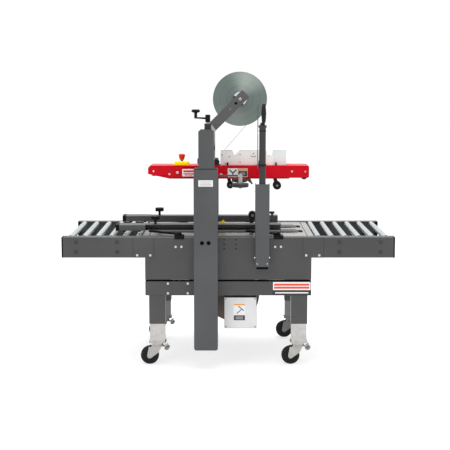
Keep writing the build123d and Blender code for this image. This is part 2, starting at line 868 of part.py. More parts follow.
# Cable conduit: a tube that slides in the guard, with the cable that loops back to the head
with BuildPart() as cable_conduit:
    x, y = conduit_x, conduit_y
    low, high = conduit_z
    rod((x, y, low), (x, y, high), conduit_radius)
    rod((x, y, low - 1), (x, y, high + 1), conduit_bore, Mode.SUBTRACT)
    rod((x, y, high), (x, y, high + 13), conduit_radius + 4)
    strip_x = x - conduit_radius - 10
    block((strip_x, y - 7, head_high + 8), (strip_x + 4, y + 7, cable_top + 16))
    block((strip_x, y - 7, head_high + 36), (x - conduit_bore - 1, y + 7, head_high + 50))
    bracket_top = head_high + 16
    block(
        (x - 16, y + conduit_radius + hairline, head_high + 8),
        (x + 16, -upper_face - hairline, bracket_top),
    )
    cable_x = x + cable_offset
    back_y = y + 2 * cable_bend
    with BuildLine():
        Line((cable_x, y, high + 12), (cable_x, y, cable_top))
        ThreePointArc(
            (cable_x, y, cable_top),
            (cable_x, y + cable_bend, cable_top + cable_bend),
            (cable_x, back_y, cable_top),
        )
        Line((cable_x, back_y, cable_top), (cable_x, back_y, bracket_top - 1))
    with BuildSketch(Plane.XY.offset(high + 12)):
        with Locations((cable_x, y)):
            Circle(cable_radius)
    sweep()
    rod((cable_x, y, sleeve_low), (cable_x, y, cable_top + 2), sleeve_radius)
    circles = cable_conduit.edges().filter_by(GeomType.CIRCLE)
    fillet(circles.filter_by(lambda e: abs(e.radius - sleeve_radius) < 0.01), 2)
save(cable_conduit, "cable_conduit")

# Emergency stop: the yellow box on the head and its red mushroom button
box_low = head_high + hairline
box_top = head_high + estop_size[2]
with BuildPart() as estop_box:
    block(
        (estop_x - estop_size[0] / 2, -estop_size[1] / 2, box_low),
        (estop_x + estop_size[0] / 2, estop_size[1] / 2, box_top),
    )
    fillet(estop_box.edges().filter_by(Axis.Z), 8)
    chamfer(estop_box.faces().sort_by(Axis.Z)[-1].edges(), 3)
    rod((estop_x, 0, box_top), (estop_x, 0, box_top + 2), 2 * estop_stem_radius)
    rod(
        (estop_x, 0, box_low - 1),
        (estop_x, 0, box_top + 3),
        estop_stem_radius + running,
        Mode.SUBTRACT,
    )
save(estop_box, "estop_box")

# ------------------------------------------------------------- moving parts

# Emergency stop button
with BuildPart() as estop_button:
    with BuildSketch(Plane.XZ) as outline:
        low, high = estop_head
        with BuildLine():
            Polyline(
                (estop_x, box_low + 8),
                (estop_x + estop_stem_radius, box_low + 8),
                (estop_x + estop_stem_radius, low),
                (estop_x + 13, low),
                (estop_x + 19, high - 8),
            )
            RadiusArc((estop_x + 19, high - 8), (estop_x + 12, high), -8)
            Polyline((estop_x + 12, high), (estop_x, high), (estop_x, box_low + 8))
        make_face()
    revolve(axis=Axis((estop_x, 0, 0), (0, 0, 1)))
save(estop_button, "estop_button")

# Conveyor rollers: tubes with bearing ends, free on their axles
for line, side in (("infeed", -1), ("exit", 1)):
    for number, offset_x in enumerate(roller_offsets, start=1):
        x = side * (half_bed + offset_x)
        with BuildPart() as roller:
            ends = roller_half_length
            rod((x, -ends, roller_z), (x, ends, roller_z), roller_radius)
            fillet(roller.edges().filter_by(GeomType.CIRCLE), 1)
            rod(
                (x, -ends + 10, roller_z),
                (x, ends - 10, roller_z),
                roller_radius - roller_wall,
                Mode.SUBTRACT,
            )
            rod(
                (x, -ends - 1, roller_z),
                (x, ends + 1, roller_z),
                axle_corner_radius + running,
                Mode.SUBTRACT,
            )
        save(roller, f"{line}_roller_{number}")

# Casters: a swivel fork with its brake pedal, and a rubber-tyred wheel
for corner_y, side_y in (("front", -1), ("rear", 1)):
    for corner_x, side_x in (("infeed", -1), ("exit", 1)):
        x, y = side_x * leg_centre_x, side_y * leg_centre_y
        wheel_x = x - caster_trail
        cheek = wheel_width / 2 + fork_gap
        crown_high = caster_plate_low - 0.5
        with BuildPart() as caster_fork:
            rod((x, y, crown_high - 12), (x, y, crown_high), 30)
            rod((x, y, crown_high), (x, y, caster_plate_high - 0.5), caster_pin_radius)
            for side in (-1, 1):
                face = -(y + side * cheek) if side < 0 else -(y + cheek + sheet)
                outline = [
                    (x + 24, crown_high - 4),
                    (x - 28, crown_high - 4),
                    (wheel_x - 13, wheel_radius),
                    (wheel_x - 9, wheel_radius - 10),
                    (wheel_x, wheel_radius - 14),
                    (wheel_x + 9, wheel_radius - 10),
                ]
                slab(outline, Plane.XZ.offset(face), sheet)
            reach = cheek + sheet + 3
            rod((wheel_x, y - reach, wheel_radius), (wheel_x, y + reach, wheel_radius), caster_pin_radius)
            slab(
                [
                    (x + 12, crown_high - 14),
                    (x + 30, crown_high - 26),
                    (x + 40, crown_high - 26),
                    (x + 58, crown_high - 12),
                    (x + 56, crown_high - 9),
                    (x + 38, crown_high - 22),
                    (x + 32, crown_high - 22),
                    (x + 14, crown_high - 8),
                ],
                Plane.XZ.offset(-y - 14),
                28,
            )
        save(caster_fork, f"caster_fork_{corner_y}_{corner_x}")
        with BuildPart() as caster_wheel:
            half = wheel_width / 2
            rod((wheel_x, y - half, wheel_radius), (wheel_x, y + half, wheel_radius), wheel_radius)
            fillet(caster_wheel.edges().filter_by(GeomType.CIRCLE), 6)
            for side in (-1, 1):
                rod(
                    (wheel_x, y + side * half, wheel_radius),
                    (wheel_x, y + side * (half - 4), wheel_radius),
                    wheel_radius - 14,
                    Mode.SUBTRACT,
                )
            rim_ends = (wheel_x, y - half, wheel_radius), (wheel_x, y + half, wheel_radius)
            rod(*rim_ends, 2 * caster_pin_radius)
            rod(
                (wheel_x, y - half - 1, wheel_radius),
                (wheel_x, y + half + 1, wheel_radius),
                caster_pin_radius + running,
                Mode.SUBTRACT,
            )
        save(caster_wheel, f"caster_wheel_{corner_y}_{corner_x}")


def taping_arm(pivot, roller, radius):
    """Two links from a pivot boss to a rubber roller, in the open part."""
    (px, pz), (rx, rz) = pivot, roller
    for plane in (Plane.XZ.offset(arm_half_width - arm_plate), Plane.XZ.offset(-arm_half_width)):
        link(pivot, 13, roller, 9, plane, arm_plate)
    rod((px, -arm_half_width, pz), (px, arm_half_width, pz), 11)
    bore_end = arm_half_width + 1
    rod((px, -bore_end, pz), (px, bore_end, pz), arm_pin_radius + running, Mode.SUBTRACT)
    face = arm_half_width - arm_plate - 0.5
    rod((rx, -face, rz), (rx, face, rz), radius)
    rod((rx, -face - 1, rz), (rx, face + 1, rz), 4 + running, Mode.SUBTRACT)
    rod((rx, -arm_half_width, rz), (rx, arm_half_width, rz), 4)


with BuildPart() as upper_apply_arm:
    taping_arm(*upper_apply)
save(upper_apply_arm, "upper_apply_arm")

with BuildPart() as upper_buff_arm:
    taping_arm(*upper_buff)
save(upper_buff_arm, "upper_buff_arm")

with BuildPart() as lower_apply_arm:
    taping_arm(*lower_apply)
save(lower_apply_arm, "lower_apply_arm")

with BuildPart() as lower_buff_arm:
    taping_arm(*lower_buff)
save(lower_buff_arm, "lower_buff_arm")

# Tape rolls: the roll of film on its drum, free on the spindle
for name, centre, drum_low in (
    ("upper_tape_roll", upper_roll, -34),
    ("lower_tape_roll", lower_roll, -26),
):
    x, z = centre
    with BuildPart() as tape_roll:
        rod((x, -tape_half_width, z), (x, tape_half_width, z), tape_radius)
        fillet(tape_roll.edges().filter_by(GeomType.CIRCLE), 1)
        rod((x, -30, z), (x, 30, z), core_radius + core_gap, Mode.SUBTRACT)
        rod((x, drum_low, z), (x, 26, z), core_radius)
        rod((x, -40, z), (x, 40, z), spindle_radius + running, Mode.SUBTRACT)
    save(tape_roll, name)

# Pulleys: a shaft with two drums under the belts
for name, x in (("drive_pulleys", pulley_x), ("idler_pulleys", -pulley_x)):
    with BuildPart() as pulleys:
        reach = weld_face - 2
        rod((x, -reach, pulley_z), (x, reach, pulley_z), shaft_radius)
        for side in (-1, 1):
            rod(
                (x, side * belt_inner_y, pulley_z),
                (x, side * belt_outer_y, pulley_z),
                pulley_radius - 0.3,
            )
    save(pulleys, name)

# Lead screw, crank and crank knob
screw_top = crank_hub[1] - 5
with BuildPart() as lead_screw:
    rod((screw_x, screw_y, screw_low), (screw_x, screw_y, screw_top), screw_radius)
    chamfer(lead_screw.edges().filter_by(GeomType.CIRCLE), 1)
save(lead_screw, "lead_screw")

handle_x = screw_x - crank_radius
with BuildPart() as crank_arm:
    low, high = crank_hub
    rod((screw_x, screw_y, low), (screw_x, screw_y, high), crank_hub_radius)
    fillet(crank_arm.edges().filter_by(GeomType.CIRCLE), 3)
    slab(
        [
            (screw_x, low + 6),
            (screw_x, low + 26),
            (screw_x - 20, low + 27),
            (handle_x - 8, knob[0] - 1),
            (handle_x - 8, knob[0] - 8),
            (screw_x - 16, low + 17),
        ],
        Plane.XZ.offset(-screw_y - 7),
        14,
    )
    bore_top = screw_top + hairline
    rod((screw_x, screw_y, low - 1), (screw_x, screw_y, bore_top), screw_radius + running, Mode.SUBTRACT)
    rod((handle_x, screw_y, knob[0] - 6), (handle_x, screw_y, knob[1] - 12), crank_pin_radius)
save(crank_arm, "crank_arm")

with BuildPart() as crank_knob:
    with BuildSketch(Plane.XZ.offset(-screw_y)):
        low, high = knob
        with BuildLine():
            Polyline(
                (handle_x, low),
                (handle_x + 8.5, low),
                (handle_x + 7.5, low + 18),
                (handle_x + 12, low + 24),
            )
            ThreePointArc(
                (handle_x + 12, low + 24),
                (handle_x + knob_radius, high - 9),
                (handle_x + 12, high),
            )
            Polyline((handle_x + 12, high), (handle_x, high), (handle_x, low))
        make_face()
    revolve(axis=Axis((handle_x, screw_y, 0), (0, 0, 1)))
    rod(
        (handle_x, screw_y, low - 1),
        (handle_x, screw_y, high - 11),
        crank_pin_radius + running,
        Mode.SUBTRACT,
    )
save(crank_knob, "crank_knob")

# Flap rollers: compression discs beside the upper head
for name, side in (("flap_roller_front", -1), ("flap_roller_rear", 1)):
    y = side * flap_y
    with BuildPart() as flap_roller:
        rod((flap_x, y, flap_disc[0]), (flap_x, y, flap_disc[1]), flap_radius)
        fillet(flap_roller.edges().filter_by(GeomType.CIRCLE), 4)
        rod(
            (flap_x, y, flap_disc[0] - 1),
            (flap_x, y, flap_disc[1] + 1),
            post_radius + running,
            Mode.SUBTRACT,
        )
    save(flap_roller, name)

# Guide arms: links from the pivot blocks to the guides
for row, side in (("front", -1), ("rear", 1)):
    for pin_end, (pivot_x, pin_x) in zip(("infeed", "exit"), zip(arm_pivots, guide_pins)):
        y, pin_y = side * arm_pivot_y, side * guide_pin_y
        with BuildPart() as guide_arm:
            low, high = arm_z
            boss = arm_width / 2
            link((pivot_x, y), boss, (pin_x, pin_y), boss, Plane.XY.offset(low), high - low)
            bore_radius = pivot_pin_radius + running
            rod((pivot_x, y, low - 1), (pivot_x, y, high + 1), bore_radius, Mode.SUBTRACT)
            rod((pin_x, pin_y, low), (pin_x, pin_y, guide_z[0] + 12), guide_pin_radius)
        save(guide_arm, f"guide_arm_{row}_{pin_end}")

# Centring guides: a closed box at the infeed, then a channel, with clamp knobs
guide_bottom, guide_top = guide_z
box_end = guide_x[0] + guide_box_length
for row, side in (("front", -1), ("rear", 1)):
    with BuildPart() as guide:
        block(
            (guide_x[0], -guide_inner - guide_box_width, guide_bottom),
            (box_end, -guide_inner, guide_top),
        )
        fillet(guide.edges().filter_by(Axis.X), 3)
        outer = guide_inner + guide_channel_width
        block((box_end, -outer, guide_bottom), (guide_x[1], -guide_inner, guide_top))
        block(
            (guide_x[0] + sheet, -guide_inner - guide_box_width + sheet, guide_bottom + sheet),
            (box_end, -guide_inner - sheet, guide_top - sheet),
            Mode.SUBTRACT,
        )
        block(
            (box_end - 1, -outer - 1, guide_bottom + sheet),
            (guide_x[1] + 1, -guide_inner - sheet, guide_top - sheet),
            Mode.SUBTRACT,
        )
        for x, slack in zip(guide_pins, (running, open_pivot_slack)):
            rod(
                (x, -guide_pin_y, guide_bottom - 1),
                (x, -guide_pin_y, guide_bottom + sheet + 1),
                guide_pin_radius + slack,
                Mode.SUBTRACT,
            )
        knob_y = -guide_inner - guide_channel_width / 2
        knob_low = guide_knob_top - guide_knob_height
        rod((guide_knob_x, knob_y, guide_top - 1), (guide_knob_x, knob_y, knob_low), 7)
        rod((guide_knob_x, knob_y, knob_low), (guide_knob_x, knob_y, guide_knob_top), guide_knob_radius)
        with Locations((guide_knob_x, knob_y, (knob_low + guide_knob_top) / 2)):
            with PolarLocations(guide_knob_radius + 5, 6):
                Cylinder(10, guide_knob_height + 2, mode=Mode.SUBTRACT)
        if side > 0:
            rod((266, knob_y, guide_top - 1), (266, knob_y, guide_top + 10), 6)
            rod((266, knob_y, guide_top + 10), (266, knob_y, guide_top + 22), 15)
            mirror(about=Plane.XZ, mode=Mode.REPLACE)
    save(guide, f"guide_{row}")
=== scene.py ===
"""Carton sealer: finishes, small fittings, labels, floor, lights and camera for the jointed model."""

import json
import math

import bmesh
import bpy
from bpy.props import FloatProperty, FloatVectorProperty, IntProperty, PointerProperty
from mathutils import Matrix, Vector


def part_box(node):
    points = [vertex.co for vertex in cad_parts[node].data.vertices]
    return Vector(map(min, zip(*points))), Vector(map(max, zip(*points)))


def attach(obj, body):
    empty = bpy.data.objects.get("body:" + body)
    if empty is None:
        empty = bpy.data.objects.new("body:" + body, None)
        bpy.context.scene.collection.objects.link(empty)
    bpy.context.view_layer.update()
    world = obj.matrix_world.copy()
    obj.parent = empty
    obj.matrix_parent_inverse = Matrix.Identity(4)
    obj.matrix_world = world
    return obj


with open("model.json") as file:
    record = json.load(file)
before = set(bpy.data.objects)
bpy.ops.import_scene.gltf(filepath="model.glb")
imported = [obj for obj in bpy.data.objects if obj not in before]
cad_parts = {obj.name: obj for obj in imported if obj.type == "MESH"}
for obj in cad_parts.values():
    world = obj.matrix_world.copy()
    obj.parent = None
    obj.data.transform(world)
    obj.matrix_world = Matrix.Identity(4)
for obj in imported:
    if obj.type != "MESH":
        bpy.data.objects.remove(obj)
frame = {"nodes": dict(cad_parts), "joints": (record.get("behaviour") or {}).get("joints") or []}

bl_info = {
    "name": "Carton Sealer",
    "version": (1, 0, 0),
    "blender": (4, 5, 0),
    "location": "3D View > Sidebar > Carton Sealer",
    "description": "Finishes, fittings, labels and a studio for the jointed carton sealer",
    "category": "Object",
}

MM = 0.001


# ------------------------------------------------------------------ properties


def colour(name, description, default):
    """A paint or material colour that the panel shows."""
    return FloatVectorProperty(
        name=name, description=description, default=default, subtype="COLOR", size=3, min=0.0, max=1.0
    )


def length(name, description, default):
    """A size in metres that the panel shows."""
    return FloatProperty(name=name, description=description, default=default, min=0.0, unit="LENGTH")


class SealerColours(bpy.types.PropertyGroup):
    """Colours of the machine's finishes."""

    grey: colour("Painted grey", "Powder coat of the bed, frame and guides", (0.048, 0.048, 0.0495))
    column_grey: colour("Column grey", "Powder coat of the columns and cable guard", (0.057, 0.0595, 0.0635))
    red: colour("Cover red", "Gloss paint of the head cover", (0.54, 0.0012, 0.010))
    zinc: colour("Zinc", "Plating of legs, forks and brackets", (0.50, 0.485, 0.47))
    roller: colour("Roller zinc", "Plating of the conveyor rollers", (0.50, 0.545, 0.55))
    steel: colour("Bed steel", "Brushed sheet of the bed plate", (0.40, 0.39, 0.37))
    white: colour("Plate white", "Light paint of the head plates", (0.84, 0.84, 0.81))
    box: colour("Box grey", "Light paint of the control box", (0.61, 0.61, 0.62))
    black: colour("Black plastic", "Knobs, caps and seals", (0.006, 0.006, 0.0065))
    belt: colour("Belt", "Woven top rubber of the drive belts", (0.075, 0.068, 0.078))
    tyre: colour("Tyre", "Rubber of wheels and taping rollers", (0.011, 0.011, 0.0115))
    film: colour("Tape film", "Edge of the wound clear tape", (0.070, 0.100, 0.089))
    film_dark: colour("Dark tape film", "Edge of the wound tan tape", (0.030, 0.018, 0.011))
    yellow: colour("Yellow", "Emergency stop box and knife guard", (0.97, 0.74, 0.006))
    button: colour("Button red", "Emergency stop button", (0.48, 0.038, 0.012))
    orange: colour("Label orange", "Warning band of the plain labels", (0.80, 0.30, 0.05))


class SealerSizes(bpy.types.PropertyGroup):
    """Sizes of the small fittings."""

    label_thickness: length("Label thickness", "Thickness of every label", 0.0004)
    label_corner: length("Label corner", "Corner radius of every label", 0.003)
    small_bolt: length("Small bolt", "Head radius of the cover bolts", 0.0036)
    large_bolt: length("Large bolt", "Head radius of the bracket bolts", 0.0050)
    knob: length("Clamp knob", "Radius of the small knobs on the head", 0.0065)
    tape_width: length("Tape width", "Width of the tape that runs to the head", 0.048)
    tape_thickness: length("Tape thickness", "Thickness of the tape web", 0.0014)
    coat_grain: FloatProperty(
        name="Coat grain", description="Depth of the powder coat's grain", default=0.10, min=0.0, max=1.0
    )
    round_steps: IntProperty(
        name="Round steps", description="Sides of every round fitting", default=32, min=12, max=96
    )


class SealerStage(bpy.types.PropertyGroup):
    """Floor, lights and camera."""

    floor_size: length("Floor size", "Side of the square floor", 60.0)
    floor_colour: colour("Floor", "Colour of the floor", (0.36, 0.36, 0.36))
    floor_glow: FloatProperty(
        name="Floor glow", description="Light given off by the floor", default=0.66, min=0.0
    )
    sky: FloatProperty(name="Sky", description="Strength of the white surroundings", default=1.0, min=0.0)
    key: FloatProperty(name="Key light", description="Power of the large soft light", default=30.0, min=0.0)
    top: FloatProperty(name="Top light", description="Power of the overhead light", default=190.0, min=0.0)
    camera_height: length("Camera height", "Height of the lens above the floor", 1.556)
    camera_back: length("Camera distance", "Distance from the machine's middle plane", 5.232)
    camera_side: FloatProperty(
        name="Camera side", description="Sideways place of the lens", default=-0.022, unit="LENGTH"
    )
    pitch: FloatProperty(
        name="Pitch",
        description="Tilt of the camera from straight down",
        default=math.radians(83.84),
        subtype="ANGLE",
    )
    lens: FloatProperty(name="Lens", description="Focal length in millimetres", default=72.35, min=1.0)
    shift_x: FloatProperty(name="Shift X", description="Sideways shift of the lens", default=0.0016)
    shift_y: FloatProperty(name="Shift Y", description="Upward shift of the lens", default=-0.093)


# --------------------------------------------------------------- shader maths


class Value:
    """One output of a shader node, with the usual arithmetic."""

    def __init__(self, shader, socket):
        self.shader = shader
        self.socket = socket

    def __add__(self, other):
        return self.shader.maths("ADD", self, other)

    def __radd__(self, other):
        return self.shader.maths("ADD", other, self)

    def __sub__(self, other):
        return self.shader.maths("SUBTRACT", self, other)

    def __rsub__(self, other):
        return self.shader.maths("SUBTRACT", other, self)

    def __mul__(self, other):
        return self.shader.maths("MULTIPLY", self, other)

    def __rmul__(self, other):
        return self.shader.maths("MULTIPLY", other, self)

    def __pow__(self, other):
        return self.shader.maths("POWER", self, other)

    def __rpow__(self, other):
        return self.shader.maths("POWER", other, self)


class Shader:
    """A material that is being built: one principled surface and the nodes that feed it."""

    def __init__(self, name, metallic=0.0, coat=0.0, specular=0.5):
        self.material = bpy.data.materials.new(name)
        self.material.use_nodes = True
        self.tree = self.material.node_tree
        self.tree.nodes.clear()
        levels = {"Metallic": metallic, "Coat Weight": coat, "Specular IOR Level": specular}
        self.surface = self.node("ShaderNodeBsdfPrincipled", {}, levels)
        self.node("ShaderNodeOutputMaterial", {}, {"Surface": Value(self, self.surface.outputs["BSDF"])})
        place = self.node("ShaderNodeTexCoord", {}, {})
        self.place = Value(self, place.outputs["Object"])
        parts = self.node("ShaderNodeSeparateXYZ", {}, {"Vector": self.place})
        self.x, self.y, self.z = (Value(self, parts.outputs[axis]) for axis in "XYZ")

    def node(self, kind, settings, values):
        """Any node: its settings first, then its values and links by input name or number."""
        made = self.tree.nodes.new(kind)
        for name, setting in settings.items():
            setattr(made, name, setting)
        for name, value in values.items():
            self.put(made, name, value)
        return made

    def put(self, node, name, value):
        """One input of a node takes a link or a constant."""
        socket = node.inputs[name]
        if isinstance(value, Value):
            self.tree.links.new(value.socket, socket)
        elif socket.type == "RGBA":
            socket.default_value = (*value[:3], 1.0)
        else:
            socket.default_value = value

    def maths(self, operation, *terms):
        """A maths node on numbers and values."""
        made = self.node("ShaderNodeMath", {"operation": operation}, dict(enumerate(terms)))
        return Value(self, made.outputs[0])

    def mix(self, share, first, second):
        """A colour between two colours."""
        made = self.node("ShaderNodeMix", {"data_type": "RGBA"}, {0: share, 6: first, 7: second})
        return Value(self, made.outputs[2])

    def stretch(self, scale):
        """The place on the object, scaled by a different amount along each axis."""
        made = self.node("ShaderNodeVectorMath", {"operation": "MULTIPLY"}, {0: self.place, 1: scale})
        return Value(self, made.outputs[0])

    def noise(self, scale, detail=2.0, roughness=0.5, place=None):
        """Soft noise from 0 to 1 over the object."""
        values = {"Vector": place or self.place, "Scale": scale, "Detail": detail, "Roughness": roughness}
        made = self.node("ShaderNodeTexNoise", {}, values)
        return Value(self, made.outputs["Fac"])

    def rings(self, radius, scale, detail):
        """Noise from 0 to 1 that changes only with the distance from an axis."""
        values = {"W": radius, "Scale": scale, "Detail": detail}
        made = self.node("ShaderNodeTexNoise", {"noise_dimensions": "1D"}, values)
        return Value(self, made.outputs["Fac"])

    def ramp(self, value, low, high, start=0.0, end=1.0, kind="SMOOTHSTEP"):
        """A value that turns from one level to another between two limits."""
        values = {"Value": value, "From Min": low, "From Max": high, "To Min": start, "To Max": end}
        made = self.node("ShaderNodeMapRange", {"interpolation_type": kind}, values)
        return Value(self, made.outputs["Result"])

    def between(self, value, low, high, soft=0.0002):
        """1 between two limits and 0 outside them."""
        rise = self.ramp(value, low - soft, low + soft)
        return rise * self.ramp(value, high - soft, high + soft, 1.0, 0.0)

    def patch(self, x=None, y=None, z=None, soft=0.0002):
        """1 inside a box given by its limits, and 0 outside it."""
        made = None
        for value, limits in ((self.x, x), (self.y, y), (self.z, z)):
            if limits is not None:
                inside = self.between(value, *limits, soft)
                made = inside if made is None else made * inside
        return made

    def patched(self, tone, rough, metal, patches):
        """Colour, roughness and metal with other ones inside each of the given boxes."""
        for box, tone_in, rough_in, metal_in in patches:
            inside = self.patch(**box)
            tone = self.mix(inside, tone, tone_in)
            rough = rough * (1.0 - inside) + inside * rough_in
            metal = metal * (1.0 - inside) + inside * metal_in
        return tone, rough, metal

    def around(self, first, second, centre):
        """Distance from an axis through a point, in two of the object's directions."""
        first, second = first - centre[0], second - centre[1]
        return (first * first + second * second) ** 0.5

    def bump(self, height, strength=0.2, distance=0.001):
        """Relief that feeds the surface's normal."""
        values = {"Strength": strength, "Distance": distance, "Height": height}
        made = self.node("ShaderNodeBump", {}, values)
        self.put(self.surface, "Normal", Value(self, made.outputs["Normal"]))

    def finish(self, **values):
        """Sets the surface's inputs and gives back the material."""
        for name, value in values.items():
            self.put(self.surface, name.replace("_", " ").title(), value)
        return self.material


def shade(base, factor):
    """A colour made lighter or darker."""
    return tuple(min(1.0, channel * factor) for channel in base)


# -------------------------------------------------------------------- finishes


def powder_coat(name, base, grain, patches=(), specular=0.5):
    """Satin powder coat: fine orange peel, uneven gloss, faint scuffs and other colours in given boxes."""
    s = Shader(name, specular=specular)
    cloud = s.noise(3.5, 3.0)
    speck = s.noise(900.0, 1.0)
    scuff = s.ramp(s.noise(26.0, 6.0, 0.7, s.stretch((1.0, 1.0, 0.25))), 0.66, 0.74)
    tone = s.mix(s.ramp(cloud, 0.3, 0.7), shade(base, 0.90), shade(base, 1.12))
    tone = s.mix(scuff * 0.22, tone, shade(base, 2.2))
    rough = 0.36 + cloud * 0.16 + scuff * 0.14
    tone, rough, metallic = s.patched(tone, rough, 0.0, patches)
    s.bump(s.noise(620.0, 2.0) + speck * 0.4, grain, 0.0006)
    return s.finish(base_color=tone, roughness=rough, metallic=metallic)


def gloss_paint(name, base):
    """Gloss paint under a clear coat, a little darker along its lower edge, which is painted shade."""
    s = Shader(name, coat=0.04, specular=0.08)
    cloud = s.noise(5.0, 2.0)
    tone = s.mix(s.ramp(cloud, 0.3, 0.7), shade(base, 0.86), shade(base, 1.10))
    # Painted shade: towards the cover's lower edge the colour turns to a quarter of its lightness.
    edge = s.ramp(s.z, 1.026, 1.036, 0.55, 0.0)
    tone = s.mix(edge, tone, shade(base, 0.25))
    s.bump(s.noise(240.0, 2.0), 0.05, 0.0006)
    return s.finish(base_color=tone, roughness=0.24 + cloud * 0.12, coat_roughness=0.12)


def plated(name, base, grain=(1.0, 1.0, 1.0), rough=0.38, patches=()):
    """Zinc plating or brushed steel: streaks along one direction and mottled patches."""
    s = Shader(name)
    streak = s.noise(420.0, 4.0, 0.6, s.stretch(grain))
    mottle = s.noise(38.0, 4.0, 0.62)
    share = s.ramp(streak * 0.5 + mottle * 0.5, 0.34, 0.66)
    tone = s.mix(share, shade(base, 0.84), shade(base, 1.14))
    stain = s.ramp(s.noise(11.0, 5.0, 0.65), 0.60, 0.72)
    tone = s.mix(stain * 0.25, tone, shade(base, 0.6))
    roughness = rough + (mottle - 0.5) * 0.22
    tone, roughness, metallic = s.patched(tone, roughness, 0.85, patches)
    s.bump(streak, 0.10, 0.0004)
    return s.finish(base_color=tone, roughness=roughness, metallic=metallic)


def plastic(name, base, rough=0.42, wear=2.4, specular=0.08):
    """Moulded plastic: fine grain, uneven gloss and rubbed spots."""
    s = Shader(name, specular=specular)
    cloud = s.noise(14.0, 3.0)
    rubbed = s.ramp(s.noise(60.0, 5.0, 0.7), 0.60, 0.76)
    tone = s.mix(rubbed * 0.35, s.mix(cloud, shade(base, 0.85), shade(base, 1.15)), shade(base, wear))
    s.bump(s.noise(340.0, 2.0), 0.14, 0.0005)
    return s.finish(base_color=tone, roughness=rough + (cloud - 0.5) * 0.2)


def rubber_and_steel(name, rubber, steel, hubs):
    """Rubber outside a radius from any of the given axes along Y, bare steel within it."""
    s = Shader(name, specular=0.18)
    near = 0.0
    for centre, radius in hubs:
        off = s.around(s.x, s.z, centre)
        near = s.maths("MAXIMUM", near, s.ramp(off, radius - 0.0004, radius + 0.0004, 1.0, 0.0))
    dust = s.noise(70.0, 5.0, 0.7)
    tone = s.mix(s.ramp(dust, 0.5, 0.8) * 0.3, rubber, shade(rubber, 3.5))
    tone = s.mix(near, tone, s.mix(s.noise(300.0, 3.0), shade(steel, 0.7), steel))
    s.bump(s.noise(380.0, 3.0), 0.2, 0.0005)
    roughness = 0.6 + (dust - 0.5) * 0.3 - near * 0.22
    return s.finish(base_color=tone, roughness=roughness, metallic=near * 0.8)


def wound_film(name, base, centre, bright, blush):
    """The edge of a roll of tape: rings of film, painted lobes of sheen across it, and its pale drum."""
    s = Shader(name, coat=0.2)
    x, z = s.x - centre[0] * MM, s.z - centre[2] * MM
    radius = (x * x + z * z) ** 0.5
    turn = s.maths("ARCTAN2", z, x)
    # Painted sheen: bright lobes at fixed angles round the roll's axis, and a lift over its lower half, are
    # mixed into the colour.
    wide = s.maths("COSINE", (turn - 1.27) * 2.0) * 0.5 + 0.5
    wide = wide ** 3.0 * (s.maths("SINE", turn) * 0.22 + 0.78)
    narrow = s.maths("COSINE", (turn - 0.66) * 2.0) * 0.5 + 0.5
    rings = s.rings(radius, 900.0, 4.0)
    bands = s.rings(radius, 75.0, 3.0)
    low = 0.5 - s.maths("SINE", turn) * 0.5
    lobes = wide * 0.95 + narrow ** 14.0 * 0.24 + low * 0.16
    sheen = lobes + (bands - 0.5) * 0.5 + (rings - 0.5) * 0.3
    tone = s.mix(s.ramp(sheen, -0.1, 1.0, kind="LINEAR"), base, bright)
    tone = s.mix(s.ramp(radius, 0.04, 0.10, 0.30, 0.0), tone, blush)
    tone = s.mix(s.ramp(radius, 0.1515, 0.1545), tone, shade(base, 0.62))
    drum = s.ramp(radius, 0.0386, 0.0392, 1.0, 0.0)
    spokes = s.ramp(s.maths("COSINE", turn * 3.0 + 0.7), -0.72, -0.60) * s.ramp(radius, 0.014, 0.017)
    pale = s.mix(spokes, (0.03, 0.03, 0.03), (0.78, 0.78, 0.77))
    tone = s.mix(drum, tone, pale)
    s.bump(rings + bands * 0.5, 0.25, 0.0004)
    return s.finish(base_color=tone, roughness=0.34 + (rings - 0.5) * 0.16 + drum * 0.08)


def belt_finish(name, base):
    """Woven rubber: a fine weave, polished tracks and chalk-like carton dust."""
    s = Shader(name)
    weave = s.maths("SINE", s.x * 2400.0) * s.maths("SINE", s.y * 2400.0)
    dust = s.noise(22.0, 5.0, 0.65, s.stretch((0.35, 1.0, 1.0)))
    tone = s.mix(s.ramp(dust, 0.42, 0.75) * 0.4, base, shade(base, 2.1))
    tone = s.mix(s.ramp(weave, -1.0, 1.0) * 0.3, tone, shade(base, 0.6))
    s.bump(weave, 0.25, 0.0006)
    return s.finish(base_color=tone, roughness=0.52 + dust * 0.2)


def label_finish(name, ground, marks):
    """A printed label with plain blocks of colour, each given by its limits and turn."""
    s = Shader(name)
    fibre = s.noise(260.0, 3.0)
    tone = s.mix(fibre, shade(ground, 0.94), shade(ground, 1.04))
    for (x, z), (half_x, half_z), angle, ink in marks:
        u = (s.x - x) * math.cos(angle) + (s.z - z) * math.sin(angle)
        v = (s.z - z) * math.cos(angle) - (s.x - x) * math.sin(angle)
        inside = s.between(u, -half_x, half_x) * s.between(v, -half_z, half_z)
        tone = s.mix(inside, tone, s.mix(fibre, shade(ink, 0.9), shade(ink, 1.1)))
    s.bump(fibre, 0.04, 0.0003)
    return s.finish(base_color=tone, roughness=0.34 + fibre * 0.12)


def clear_film(name):
    """Clear tape seen edge on: pale, glossy and partly see-through."""
    s = Shader(name, coat=0.4)
    cloud = s.noise(30.0, 3.0)
    tone = s.mix(cloud, (0.20, 0.20, 0.20), (0.30, 0.30, 0.29))
    s.bump(s.noise(120.0, 2.0), 0.05, 0.0003)
    return s.finish(base_color=tone, roughness=0.2 + cloud * 0.15, alpha=0.82 + cloud * 0.12)


def floor_finish(name, base, glow):
    """Plain pale floor with the faintest unevenness."""
    s = Shader(name)
    cloud = s.noise(0.8, 2.0)
    tone = s.mix(cloud, shade(base, 0.97), shade(base, 1.03))
    return s.finish(base_color=tone, roughness=0.85, emission_color=(1.0, 1.0, 1.0), emission_strength=glow)


# ---------------------------------------------------------------- mesh helpers


